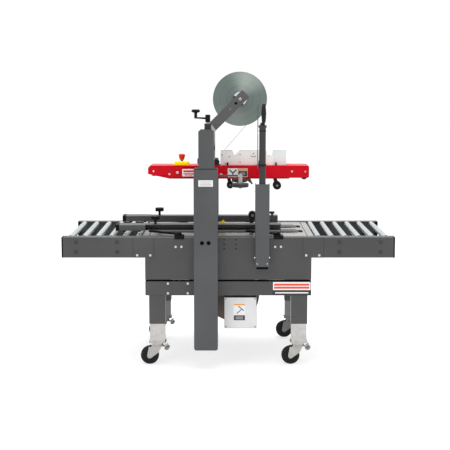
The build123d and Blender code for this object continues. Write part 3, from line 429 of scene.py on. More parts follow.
class Piece:
    """A mesh under construction, in millimetres, that becomes one named piece on a body."""

    def __init__(self, steps):
        self.mesh = bmesh.new()
        self.steps = steps

    def prism(self, outline, start, end, across="Y"):
        """A straight prism of an outline, from one level to another along an axis."""
        order = {"X": (2, 0, 1), "Y": (0, 2, 1), "Z": (0, 1, 2)}[across]
        rings = []
        for level in (start, end):
            ring = []
            for u, v in outline:
                flat = (u, v, level)
                ring.append(self.mesh.verts.new([flat[index] * MM for index in order]))
            rings.append(ring)
        first, second = rings
        self.mesh.faces.new(first)
        self.mesh.faces.new(second)
        for index in range(len(outline)):
            after = (index + 1) % len(outline)
            self.mesh.faces.new((first[index], first[after], second[after], second[index]))

    def turned(self, profile, centre, axis, sides=None):
        """A solid of revolution: pairs of radius and height from a point along an axis."""
        count = sides or self.steps
        along = Vector(axis).normalized()
        side = along.orthogonal().normalized()
        other = along.cross(side)
        rings = []
        for radius, height in profile:
            middle = Vector(centre) + along * height
            if radius < 1e-6:
                rings.append([self.mesh.verts.new(middle * MM)])
                continue
            ring = []
            for step in range(count):
                angle = math.tau * step / count
                rim = side * math.cos(angle) + other * math.sin(angle)
                ring.append(self.mesh.verts.new((middle + rim * radius) * MM))
            rings.append(ring)
        for lower, upper in zip(rings, rings[1:]):
            for step in range(count):
                after = (step + 1) % count
                if len(lower) == 1 and len(upper) == 1:
                    continue
                if len(lower) == 1:
                    self.mesh.faces.new((lower[0], upper[after], upper[step]))
                elif len(upper) == 1:
                    self.mesh.faces.new((lower[step], lower[after], upper[0]))
                else:
                    self.mesh.faces.new((lower[step], lower[after], upper[after], upper[step]))

    def disc(self, centre, axis, radius, height):
        """A plain round disc or bar."""
        self.turned([(0, 0), (radius, 0), (radius, height), (0, height)], centre, axis)

    def ring(self, centre, axis, inner, outer, height):
        """A plain ring."""
        profile = [(inner, 0), (outer, 0), (outer, height), (inner, height), (inner, 0)]
        self.turned(profile, centre, axis)

    def bolt(self, centre, axis, radius):
        """A socket head bolt with its washer."""
        self.turned(
            [
                (0, 0),
                (1.5 * radius, 0),
                (1.5 * radius, 0.18 * radius),
                (radius, 0.18 * radius),
                (radius, 0.62 * radius),
                (0.82 * radius, 0.82 * radius),
                (0.45 * radius, 0.82 * radius),
                (0.42 * radius, 0.35 * radius),
                (0, 0.35 * radius),
            ],
            centre,
            axis,
        )

    def hexagon(self, centre, axis, radius):
        """A hexagon head on a round washer."""
        self.disc(centre, axis, 1.4 * radius, 0.2 * radius)
        lifted = Vector(centre) + Vector(axis).normalized() * 0.2 * radius
        top = 0.75 * radius
        profile = [(0, 0), (radius, 0), (radius, 0.6 * radius), (0.8 * radius, top), (0, top)]
        self.turned(profile, lifted, axis, 6)

    def become(self, name, body, material):
        """Writes the mesh to a named object that rides on a body."""
        bmesh.ops.recalc_face_normals(self.mesh, faces=self.mesh.faces)
        data = bpy.data.meshes.new(name)
        self.mesh.to_mesh(data)
        self.mesh.free()
        if not data.polygons:
            raise RuntimeError(f"{name} has no surface")
        piece = bpy.data.objects.new(name, data)
        bpy.context.scene.collection.objects.link(piece)
        data.materials.append(material)
        smooth(piece)
        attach(piece, body)
        return piece


def smooth(piece, angle=34.0):
    """Smooth shading over gentle turns and hard edges over sharp ones."""
    data = piece.data
    data.polygons.foreach_set("use_smooth", [True] * len(data.polygons))
    data.set_sharp_from_angle(angle=math.radians(angle))


def rounded(x0, x1, z0, z1, radius, steps=5):
    """Outline of a rectangle with round corners."""
    left, right, low, high = x0 + radius, x1 - radius, z0 + radius, z1 - radius
    outline = []
    for x, z, start in ((right, high, 0), (left, high, 90), (left, low, 180), (right, low, 270)):
        for step in range(steps + 1):
            angle = math.radians(start + 90 * step / steps)
            outline.append((x + radius * math.cos(angle), z + radius * math.sin(angle)))
    return outline


def moved(outline, x, z):
    """An outline shifted to a new place."""
    return [(x + u, z + v) for u, v in outline]


def settings():
    """The colours, sizes and stage settings of the open scene."""
    scene = bpy.context.scene
    return scene.sealer_colours, scene.sealer_sizes, scene.sealer_stage


finished = set()


def paint_node(name, material):
    """Gives a CAD node its finish and smooth shading over its gentle turns."""
    node = frame["nodes"][name]
    node.data.materials.clear()
    node.data.materials.append(material)
    smooth(node, 30.0)
    finished.add(name)


# ------------------------------------------------------- places on the machine

JOINTS = {joint["name"]: joint for joint in frame["joints"]}
ROWS = (("front", -1), ("rear", 1))
ENDS = (("infeed", -1), ("exit", 1))
SIDES = (-1, 1)
UP = (0, 0, 1)


def joint_place(name):
    """Where a joint stands at rest, in millimetres."""
    return [value / MM for value in JOINTS[name]["pos_m"]]


def front(node):
    """How far the front of a node stands before the middle plane, in millimetres."""
    return -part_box(node)[0][1] / MM


def levels(side, inner, outer):
    """The two levels of a strip on one side of a middle plane, the lower one first."""
    return sorted((side * inner, side * outer))


# Front faces that fittings stand on, the casters' places and the axes of rolls and conduit
PANEL_FACE = front("side_panels")
COLUMN_FACE = front("outer_columns")
COVER_FACE = front("head_covers")
GUARD_FACE = front("cable_guard")
BOX_FACE = front("control_box")
BRACKET_FACE = front("tape_arm")
HEAD_PLATE_FACE = 33
LEG_X, LEG_Y, _ = joint_place("caster_swivel_rear_exit")
TRAIL = LEG_X - joint_place("caster_roll_rear_exit")[0]
AXLE_HEIGHT = joint_place("caster_roll_rear_exit")[2]
UPPER_ROLL = joint_place("upper_roll_spin")
LOWER_ROLL = joint_place("lower_roll_spin")
CONDUIT = (185, -345)


# ---------------------------------------------- finishes that the steps share


def area(tone, rough, metal, **limits):
    """Another finish inside a box of the machine, given by its limits in metres."""
    return limits, tuple(tone), rough, metal


def once(name, make, *values, **more):
    """A finish that several steps share: the first step that needs it makes it."""
    return bpy.data.materials.get(name) or make(name, *values, **more)


def bright_bolts(c):
    """Bright zinc of the head's bolts."""
    return once("bright bolts", plated, shade(c.zinc, 1.2), rough=0.3)


def guard_bolts(c):
    """Bright zinc of the guard's and the conduit's bolts."""
    return once("guard bolts", plated, shade(c.zinc, 1.2), rough=0.3)


def fitting_black(c):
    """Black of the knobs and the stop button's collar."""
    return once("fitting black", plastic, c.black)


def slot_shade_black(c):
    """Dull black that paints the shade inside slots and holes."""
    return once("slot black", plastic, shade(c.black, 0.4), 0.8)


# ------------------------------------------------------------------- operators


class SEALER_OT_bed_finishes(bpy.types.Operator):
    """Give the bed, conveyors, base, columns and control box their finishes"""

    bl_idname = "sealer.bed_finishes"
    bl_label = "Bed finishes"

    def execute(self, context):
        c, sizes, _ = settings()
        grain = sizes.coat_grain
        grey = powder_coat("painted grey", c.grey, grain)
        seams = [
            area(shade(c.grey, 0.55), 0.6, 0.0, x=(x - 0.0016, x + 0.0016), z=(0.6, 0.7225))
            for x in (-0.526, -0.411, 0.411, 0.526)
        ]
        # Painted shade: the rails' inner faces are painted near black, for the shade between the rails.
        shaded_inside_rails = area(shade(c.black, 1.5), 0.8, 1.0, y=(-0.3068, 0.3068), z=(0.6, 0.7226))
        # Painted shade: dark lines on the bed plate where it meets the conveyors.
        gap_shade_lines = [area(shade(c.black, 2.0), 0.6, 1.0, x=(x - 0.002, x + 0.002)) for x in (-0.441, 0.441)]
        axle_ends = [area(c.grey, 0.5, 0.0, y=y) for y in ((-0.32, -0.3062), (0.3062, 0.32))]
        slide_seals = [
            area(c.black, 0.6, 0.0, x=(-0.184, -0.061), y=(-0.3862, 0.3862), z=(1.0, 1.2)),
            area(c.black, 0.6, 0.0, x=(-0.2, -0.04), z=(1.1068, 1.2)),
        ]
        # Besides the black top band and sliver, the three grey lines round the door, darker on the right than
        # on the left and bottom, are painted shade along the door's edges.
        box_edges_and_door_shade = [
            area(c.black, 0.5, 0.0, z=(0.3835, 0.3965)),
            area(c.black, 0.6, 0.0, y=(-0.29721, -0.29679)),
            area((0.11, 0.11, 0.12), 0.5, 0.0, x=(-0.0225, -0.0205)),
            area((0.09, 0.09, 0.10), 0.5, 0.0, x=(0.1560, 0.1585)),
            area((0.16, 0.16, 0.17), 0.5, 0.0, z=(0.2085, 0.2105)),
        ]
        lower_plates = [
            area(c.yellow, 0.35, 0.0, x=(-0.05, -0.015), z=(0.7245, 0.79)),
            area(c.zinc, 0.4, 0.8, z=(0.2, 0.4665)),
        ]
        joint_bolts = [area(c.grey, 0.45, 0.0, x=x) for x in ((-0.9, -0.56), (0.56, 0.9))]
        # Painted shade: the rear legs get a much darker zinc than the front ones.
        shaded_far_legs = area(shade(c.zinc, 0.40), 0.45, 0.6, y=(0.15, 0.33))
        finishes = {
            "side_panels": grey,
            "base_frame": grey,
            "conveyor_rails": powder_coat("rail grey", c.grey, grain, [shaded_inside_rails, *seams]),
            "inner_legs": plated("leg zinc", c.zinc, (1.0, 1.0, 0.12), 0.42, [shaded_far_legs]),
            "bed_plates": plated("brushed bed steel", c.steel, (0.05, 1.0, 1.0), 0.30, gap_shade_lines),
            "end_caps_and_pivots": once("black plastic", plastic, c.black),
            "roller_axles": plated("axle steel", c.zinc, patches=axle_ends),
            "outer_columns": powder_coat("outer column grey", c.column_grey, grain, slide_seals),
            "cable_guard": powder_coat("column grey", c.column_grey, grain),
            "control_box": powder_coat("control box grey", c.box, grain * 0.5, box_edges_and_door_shade),
            "lower_head_frame": powder_coat("lower head plates", c.white, grain * 0.5, lower_plates),
            "drive_belts": belt_finish("woven belt", c.belt),
            "gearmotor": powder_coat("motor enamel", (0.07, 0.075, 0.08), grain * 0.5),
            "bed_bolts": plated("bed bolts", shade(c.zinc, 1.15), patches=joint_bolts),
        }
        for node, material in finishes.items():
            paint_node(node, material)
        return {"FINISHED"}


class SEALER_OT_head_finishes(bpy.types.Operator):
    """Give the upper head, its cover, tape arm, stop button and crank their finishes"""

    bl_idname = "sealer.head_finishes"
    bl_label = "Head finishes"

    def execute(self, context):
        c, sizes, _ = settings()
        grain = sizes.coat_grain
        frame_parts = [
            area(c.black, 0.5, 0.0, z=(1.3212, 1.37)),
            area(c.zinc, 0.4, 0.7, x=(0.055, 0.085), z=(0.97, 1.07)),
        ]
        plate_parts = [
            area((0.70, 0.75, 0.74), 0.3, 0.0, x=(0.259, 0.34), z=(1.09, 1.2)),
            area(c.tyre, 0.6, 0.0, x=(0.41, 0.46)),
            area((0.10, 0.085, 0.05), 0.4, 0.6, x=(0.095, 0.15), y=(-0.0302, -0.027), z=(0.98, 1.034)),
        ]
        arm_bracket = [
            area(c.zinc, 0.38, 0.85, y=(-0.12, -0.1006)),
            area(c.zinc, 0.38, 0.85, z=(1.27, 1.2836)),
        ]
        strip = area((0.085, 0.085, 0.09), 0.4, 0.2, x=(0.1565, 0.1613))
        finishes = {
            "head_frame": powder_coat("head frame grey", c.column_grey, grain, frame_parts),
            "head_covers": gloss_paint("cover red", c.red),
            "upper_head_frame": powder_coat("upper head plates", c.white, grain * 0.4, plate_parts),
            "tape_arm": powder_coat("tape arm grey", shade(c.grey, 1.4), grain, arm_bracket),
            "cable_conduit": powder_coat("conduit black", (0.032, 0.032, 0.034), grain, [strip], 0.3),
            "estop_box": plastic("stop box yellow", c.yellow, 0.34, wear=1.15),
            "estop_button": plastic("stop button red", c.button, 0.28, wear=1.3),
            "lead_screw": plated("lead screw steel", shade(c.zinc, 0.8), (1.0, 1.0, 0.05)),
            "crank_arm": once("black plastic", plastic, c.black),
            "crank_knob": plastic("knob black", c.black, 0.25),
            "upper_tape_roll": wound_film(
                "clear tape edge", c.film, UPPER_ROLL, (0.275, 0.325, 0.295), (0.16, 0.18, 0.22)
            ),
        }
        for node, material in finishes.items():
            paint_node(node, material)
        return {"FINISHED"}


class SEALER_OT_moving_finishes(bpy.types.Operator):
    """Give the rollers, arms, wheels, forks and guides their finishes"""

    bl_idname = "sealer.moving_finishes"
    bl_label = "Moving part finishes"

    def execute(self, context):
        c, sizes, _ = settings()
        zinc = plated("zinc plate", c.zinc, (1.0, 1.0, 0.2))
        flap = plastic("flap roller grey", (0.055, 0.057, 0.06), 0.40)
        finishes = {
            "lower_tape_roll": wound_film(
                "tan tape edge", c.film_dark, LOWER_ROLL, (0.075, 0.045, 0.028), (0.06, 0.04, 0.03)
            ),
            "drive_pulleys": zinc,
            "idler_pulleys": zinc,
            "flap_roller_front": flap,
            "flap_roller_rear": flap,
        }
        rollers = {
            "upper_apply_arm": ((0.012, 0.982), 0.004),
            "upper_buff_arm": ((0.284, 0.980), 0.006),
            "lower_apply_arm": ((-0.135, 0.805), 0.008),
            "lower_buff_arm": ((0.142, 0.805), 0.008),
        }
        for node, hub in rollers.items():
            title = node.replace("_", " ") + " rubber"
            finishes[node] = rubber_and_steel(title, c.tyre, shade(c.zinc, 0.6), [hub])
        wheels = [((place * MM, AXLE_HEIGHT * MM), 0.013) for place in (-LEG_X - TRAIL, LEG_X - TRAIL)]
        knobs = [
            area(shade(c.black, 2.0), 0.45, 1.0, x=x, z=(0.7795, 0.835))
            for x in ((-0.44, -0.38), (0.24, 0.29))
        ]
        kinds = {
            "_roller_": plated("roller plating", c.roller, (1.0, 0.06, 1.0), 0.30),
            "caster_fork_front": plated("fork zinc", shade(c.zinc, 0.84), rough=0.36),
            "caster_fork_rear": plated("shaded fork zinc", shade(c.zinc, 0.42), rough=0.42),
            "caster_wheel": rubber_and_steel("caster tyre", c.tyre, (0.10, 0.10, 0.10), wheels),
            "guide_arm": plastic("arm black", c.black, 0.45),
            "guide_": powder_coat("guide grey", shade(c.grey, 1.08), sizes.coat_grain, knobs),
        }
        for node, material in finishes.items():
            paint_node(node, material)
        for node in sorted(set(frame["nodes"]) - finished):
            kind = next((part for part in kinds if part in node), None)
            if kind is None:
                raise RuntimeError(f"{node} has no finish")
            paint_node(node, kinds[kind])
        return {"FINISHED"}


class SEALER_OT_cover_fittings(bpy.types.Operator):
    """Add the bolts and slots of the head cover"""

    bl_idname = "sealer.cover_fittings"
    bl_label = "Cover fittings"

    def execute(self, context):
        c, sizes, _ = settings()
        small = sizes.small_bolt / MM
        large = sizes.large_bolt / MM
        places = (
            (-428, 1067, small),
            (-337, 1050, small),
            (-291, 1060, large),
            (-40, 1048, large),
            (367, 1066, small),
            (443, 1065, 0.8 * small),
        )
        bolts = Piece(sizes.round_steps)
        slots = Piece(sizes.round_steps)
        for side in SIDES:
            for x, z, radius in places:
                bolts.bolt((x, side * COVER_FACE, z), (0, side, 0), radius)
            face = levels(side, COVER_FACE - 1.0, COVER_FACE + 0.4)
            # Painted shade: black strips in the cover's face stand for the dark inside of its slits.
            slots.prism(rounded(-263, -190, 1085.4, 1088.6, 1.5), *face)
            slots.prism(rounded(-448, -336, 1040, 1041.6, 0.7), *face)
        bolts.become("head_cover_bolts", "head", bright_bolts(c))
        slots.become("head_cover_slots", "head", slot_shade_black(c))
        return {"FINISHED"}


class SEALER_OT_plate_fittings(bpy.types.Operator):
    """Add the screws and curved slots of the head plates, and the knobs behind the cover"""

    bl_idname = "sealer.plate_fittings"
    bl_label = "Head plate fittings"

    def execute(self, context):
        c, sizes, _ = settings()
        places = ((-36, 1159), (7, 1149), (68.5, 1160), (68.5, 1117.5), (146, 1167), (-15, 1108), (186, 1112))
        screws = Piece(sizes.round_steps)
        for side in SIDES:
            for x, z in places:
                screws.bolt((x, side * HEAD_PLATE_FACE, z), (0, side, 0), 2.6)
        dull = plated("dull screws", shade(c.zinc, 0.55), rough=0.4)
        screws.become("head_plate_screws", "head", dull)

        middle_x, bottom_z, half_width, rise, opening, steps = 146, 1146, 15, 5.5, 3.4, 12
        curved = []
        for lift, back in ((0, 1), (opening, -1)):
            for step in range(steps + 1):
                u = 2 * step / steps - 1
                curved.append((middle_x + back * u * half_width, bottom_z + lift + rise * u * u))
        slots = Piece(sizes.round_steps)
        for side in SIDES:
            slots.prism(curved, *levels(side, HEAD_PLATE_FACE - 1.0, HEAD_PLATE_FACE + 0.3))
        # Painted shade: the grey strips stand for the dark inside of the curved slots.
        slot_shade_grey = plastic("slot shade grey", (0.12, 0.12, 0.11), 0.7)
        slots.become("head_plate_slots", "head", slot_shade_grey)

        r = sizes.knob / MM
        collar = [(0, 0), (r, 0), (r, 3), (0.55 * r, 5), (0.55 * r, 9)]
        grip = [(0.95 * r, 11), (0.9 * r, 16), (0, 17)]
        knobs = Piece(sizes.round_steps)
        for x in (-3, 275):
            for side in SIDES:
                knobs.turned(collar + grip, (x, side * 50, 1100), UP)
        knobs.become("head_cover_knobs", "head", fitting_black(c))
        return {"FINISHED"}


class SEALER_OT_cable_gland(bpy.types.Operator):
    """Add the cable gland on its foot at the head plate"""

    bl_idname = "sealer.cable_gland"
    bl_label = "Cable gland"

    def execute(self, context):
        _, sizes, _ = settings()
        nut = [(0, 0), (17, 0), (18, 2), (18, 9), (16, 12), (11.5, 12)]
        neck = [(10, 8), (6, 8), (5.5, 14), (0, 15)]
        gland = Piece(sizes.round_steps)
        gland.turned(nut + neck, (-67, -42, 1118.3), (0, -1, 0))
        gland.prism(rounded(-84, -48, 1100.2, 1106, 2), -58, -38)
        gland_grey = plastic("gland grey", (0.045, 0.045, 0.048), 0.35)
        gland.become("head_cable_gland", "head", gland_grey)
        return {"FINISHED"}


class SEALER_OT_tape_run(bpy.types.Operator):
    """Add the tape that runs to the head, its bars, and the fasteners of the tape arm"""

    bl_idname = "sealer.tape_run"
    bl_label = "Tape run"

    def execute(self, context):
        c, sizes, _ = settings()
        steps = sizes.round_steps
        start, end = Vector((104.6, 1330.0)), Vector((-23, 1182.6))
        along = (end - start).normalized()
        side = Vector((-along.y, along.x)) * sizes.tape_thickness / MM / 2
        half_width = sizes.tape_width / MM / 2
        web = Piece(steps)
        corners = (start - side, end - side, end + side, start + side)
        web.prism([tuple(corner) for corner in corners], -half_width, half_width)
        web.become("upper_tape_web", "head", clear_film("clear tape"))

        bars = Piece(steps)
        bars.disc((-24, -30, 1176.5), (0, 1, 0), 5, 60)
        bars.disc((-30, -30, 1130), (0, 1, 0), 4, 60)
        bars.become("head_tape_bars", "head", bright_bolts(c))

        bolts = Piece(steps)
        for x, z in ((-136, 1296), (-106, 1290), (-82, 1302), (-112, 1322)):
            bolts.bolt((x, -BRACKET_FACE, z), (0, -1, 0), 5)
        bolts.become("tape_arm_bolts", "head", bright_bolts(c))

        nut = Piece(steps)
        nut.hexagon((UPPER_ROLL[0], -BRACKET_FACE, UPPER_ROLL[2]), (0, -1, 0), 7)
        nut.disc((12, -100, 1424), (0, -1, 0), 3.4, 0.8)
        spindle_steel = plated("spindle steel", shade(c.zinc, 0.72), rough=0.42)
        nut.become("tape_spindle_nut", "head", spindle_steel)

        # Painted shade: a black disc behind the hole in the tape arm stands for the dark inside of the hole.
        plug = Piece(steps)
        plug.disc((44, -95.2, 1456), (0, -1, 0), 8.6, 1.5)
        plug.become("tape_arm_hole_shade", "head", slot_shade_black(c))
        return {"FINISHED"}


class SEALER_OT_stop_fittings(bpy.types.Operator):
    """Add the collar, screws and flange of the emergency stop"""

    bl_idname = "sealer.stop_fittings"
    bl_label = "Stop button fittings"

    def execute(self, context):
        c, sizes, _ = settings()
        middle = -268
        collar = Piece(sizes.round_steps)
        profile = [(7.3, 0), (13.5, 0), (13.5, 1.4), (12.5, 2), (7.3, 2), (7.3, 0)]
        collar.turned(profile, (middle, 0, 1119.2), UP)
        for side in SIDES:
            collar.bolt((middle + side * 34, 0, 1118.8), UP, 2.0)
        collar.become("stop_box_collar", "head", fitting_black(c))

        flange = Piece(sizes.round_steps)
        low, high, corner = 1100.1, 1105.5, 1.2
        for side in SIDES:
            flange.prism(rounded(middle - 46, middle + 46, *levels(side, 35.1, 38.0), corner), low, high, "Z")
            ends = sorted((middle + side * 42.1, middle + side * 46))
            flange.prism(rounded(*ends, -35, 35, corner), low, high, "Z")
        flange_yellow = plastic("flange yellow", c.yellow, 0.34, wear=1.15)
        flange.become("stop_box_flange", "head", flange_yellow)
        return {"FINISHED"}


class SEALER_OT_column_fittings(bpy.types.Operator):
    """Add the plugs of the columns, the bolts of the cable guard, and a black block of painted shade under
    the guard's foot
    """

    bl_idname = "sealer.column_fittings"
    bl_label = "Column fittings"

    def execute(self, context):
        c, sizes, _ = settings()
        steps = sizes.round_steps
        plugs = Piece(steps)
        profile = [(0, -2), (9.2, -2), (9.2, 0), (11, 0), (10.4, 1.4), (6, 2.2), (0, 2.4)]
        for side in SIDES:
            for x in (-143, -107):
                plugs.turned(profile, (x, side * COLUMN_FACE, 706), (0, side, 0))
        plug_black = plastic("plug black", shade(c.black, 0.4), specular=0.02)
        plugs.become("column_plugs", "bed", plug_black)

        bolts = Piece(steps)
        for x in (158, 213):
            bolts.bolt((x, -GUARD_FACE, 588), (0, -1, 0), 2.4)
        for x, side in ((147, -1), (224, 1)):
            for z in (613, 985):
                bolts.hexagon((x, -330, z), (side, 0, 0), 5)
        bolts.become("guard_bolts", "bed", guard_bolts(c))

        # Painted shade: a black block under the guard's foot, where its shadow falls on the panel.
        foot_shade = Piece(steps)
        foot_shade.prism(rounded(153, 218, 557, 570.8, 5), -GUARD_FACE + 0.5, -GUARD_FACE + 5.5)
        foot_shade_black = plastic("seal black", shade(c.black, 0.6), 0.7)
        foot_shade.become("guard_foot_shade", "bed", foot_shade_black)
        return {"FINISHED"}


class SEALER_OT_cable_fittings(bpy.types.Operator):
    """Add the bands, boot and strip bolts of the conduit, and the bolts of the inner column"""

    bl_idname = "sealer.cable_fittings"
    bl_label = "Cable fittings"

    def execute(self, context):
        c, sizes, _ = settings()
        steps = sizes.round_steps
        bands = Piece(steps)
        bands.ring((*CONDUIT, 1121), UP, 18.1, 20.5, 12)
        bands.ring((*CONDUIT, 1310), UP, 18.1, 20.0, 5)
        cap = [(0, 0), (11, 0), (13, 4), (13, 10), (9, 14), (0, 14)]
        bands.turned(cap, (*CONDUIT, 1343.2), UP)
        boot = [(6.3, 0), (10, 0), (12, 22), (13.4, 46), (12, 72), (9, 96), (6.3, 100), (6.3, 0)]
        bands.turned(boot, (CONDUIT[0] + 6, CONDUIT[1], 1358), UP)
        boot_black = plastic("boot black", shade(c.black, 3.0), 0.5)
        bands.become("conduit_bands", "head", boot_black)

        strip = Piece(steps)
        for z, radius in ((1143, 2.6), (1300, 2.2)):
            strip.bolt((159, -352, z), (0, -1, 0), radius)
        strip.become("conduit_strip_bolts", "head", guard_bolts(c))

        flush = Piece(steps)
        for z in (1272, 1205, 1155, 1118):
            flush.disc((-78, -346, z), (1, 0, 0), 3.4, 0.3)
        flush.become("inner_column_bolts", "head", guard_bolts(c))
        return {"FINISHED"}


class SEALER_OT_leg_fittings(bpy.types.Operator):
    """Add the bolts of the legs, the caster plates and the control box"""

    bl_idname = "sealer.leg_fittings"
    bl_label = "Leg and box bolts"

    def execute(self, context):
        c, sizes, _ = settings()
        bolts = Piece(sizes.round_steps)
        for side_x in SIDES:
            for side_y in SIDES:
                x, y = side_x * LEG_X, side_y * LEG_Y
                for dx in (-36, 36):
                    for dy in (-24, 24):
                        bolts.hexagon((x + dx, y + dy, 125), (0, 0, -1), 4.2)
                for z in (150, 172):
                    bolts.disc((x - 22, side_y * (LEG_Y + 29.5), z), (0, side_y, 0), 3.4, 0.3)
        zinc = plated("bed fitting zinc", shade(c.zinc, 1.15), rough=0.32)
        bolts.become("caster_plate_bolts", "bed", zinc)

        screws = Piece(sizes.round_steps)
        for x in (-13, 149):
            for z in (218, 376):
                screws.bolt((x, -BOX_FACE, z), (0, -1, 0), 2.8)
        dull = plated("box screws", shade(c.zinc, 0.5), rough=0.4)
        screws.become("control_box_screws", "bed", dull)
        return {"FINISHED"}


class SEALER_OT_guide_fittings(bpy.types.Operator):
    """Add the end caps and the studs below the centring guides"""

    bl_idname = "sealer.guide_fittings"
    bl_label = "Guide fittings"

    def execute(self, context):
        c, sizes, _ = settings()
        black = plastic("bed fitting black", c.black)
        for row, side in ROWS:
            caps = Piece(sizes.round_steps)
            caps.prism(rounded(*levels(side, 138.8, 216.2), 744.8, 780.2, 3), -632, -612, "X")
            for x in (-585, -500):
                caps.turned([(0, 0), (9, 0), (9, 9), (6, 11), (0, 11)], (x, side * 178, 746), (0, 0, -1))
            caps.become(f"guide_end_cap_{row}", f"guide_{row}", black)
        return {"FINISHED"}


class SEALER_OT_bed_fittings(bpy.types.Operator):
    """Add the tie bolts of the rails in a darker grey, as painted shade, and black sheets of painted shade
    behind the vent holes and in the gap under the side panels
    """

    bl_idname = "sealer.bed_fittings"
    bl_label = "Bed fittings"

    def execute(self, context):
        c, sizes, _ = settings()
        bolts = Piece(sizes.round_steps)
        vents = Piece(sizes.round_steps)
        for side in SIDES:
            for x in (-841, -614, 614, 841):
                for z in (642, 698):
                    bolts.bolt((x, side * (PANEL_FACE + 0.2), z), (0, side, 0), 7)
            # Painted shade: black discs sit behind the vent holes, and a black strip fills the gap between
            # the side panel and the frame.
            for x in (-23, 43):
                for z in (660, 685, 710):
                    vents.disc((x, side * (PANEL_FACE - 3.6), z), (0, side, 0), 6, 0.4)
            gap_shade_levels = levels(side, PANEL_FACE - 2.4, PANEL_FACE - 0.8)
            vents.prism(rounded(-458, 458, 478.5, 485.5, 1), *gap_shade_levels)
        # Painted shade: the tie bolts take the rails' grey at half its lightness, so their heads read as dark
        # spots.
        shaded_bolt_grey = powder_coat("rail bolt shaded grey", shade(c.grey, 0.5), sizes.coat_grain)
        bolts.become("rail_tie_bolts", "bed", shaded_bolt_grey)
        vent_shade_black = plastic("vent black", shade(c.black, 0.4), 0.8, specular=0.0)
        vents.become("vent_and_gap_shade_sheets", "bed", vent_shade_black)
        return {"FINISHED"}


class SEALER_OT_caster_fittings(bpy.types.Operator):
    """Add the pressed cheeks, bearing cup and ribbed brake pad of each caster"""

    bl_idname = "sealer.caster_fittings"
    bl_label = "Caster fittings"

    def execute(self, context):
        c, sizes, _ = settings()
        hub_end = [(-14, 0), (-12, -10), (-6, -16), (3, -16), (10, -12)]
        top_end = [(50, 18), (64, 44), (64, 50), (-5, 50)]
        pad_view = [(82, 38), (104, 52), (112, 46), (104, 32), (90, 30)]
        rib_view = [(0, 0), (2.6, 1.6), (1.4, 3.6), (-1.2, 2.0)]
        for end, side_x in ENDS:
            for row, side_y in ROWS:
                x, y = side_x * LEG_X - TRAIL, side_y * LEG_Y
                fork = f"caster_fork_{row}_{end}"
                cheeks = Piece(sizes.round_steps)
                for offset in (-21.6, 20.1):
                    outline = moved(hub_end + top_end, x, AXLE_HEIGHT)
                    cheeks.prism(outline, y + offset, y + offset + 1.5)
                cheeks.turned([(0, 0), (27, 0), (31, 4), (31, 11), (0, 11)], (x + TRAIL, y, 100.5), UP)
                # Painted shade: the rear cheeks get a much darker zinc than the front ones.
                zinc = shade(c.zinc, 0.84 if row == "front" else 0.34)
                cheek_zinc = plated(f"cheek zinc {row} {end}", zinc)
                cheeks.become(f"caster_cheeks_{row}_{end}", fork, cheek_zinc)

                pad = Piece(sizes.round_steps)
                pad.prism(moved(pad_view, x, AXLE_HEIGHT), y - 15, y + 15)
                for rib in range(4):
                    pad.prism(moved(rib_view, x + 86 + 5.2 * rib, 91.8 + 3.3 * rib), y - 15, y + 15)
                pad_steel = plated(f"pad steel {row} {end}", (0.20, 0.21, 0.23), rough=0.4)
                pad.become(f"brake_pad_{row}_{end}", fork, pad_steel)
        return {"FINISHED"}


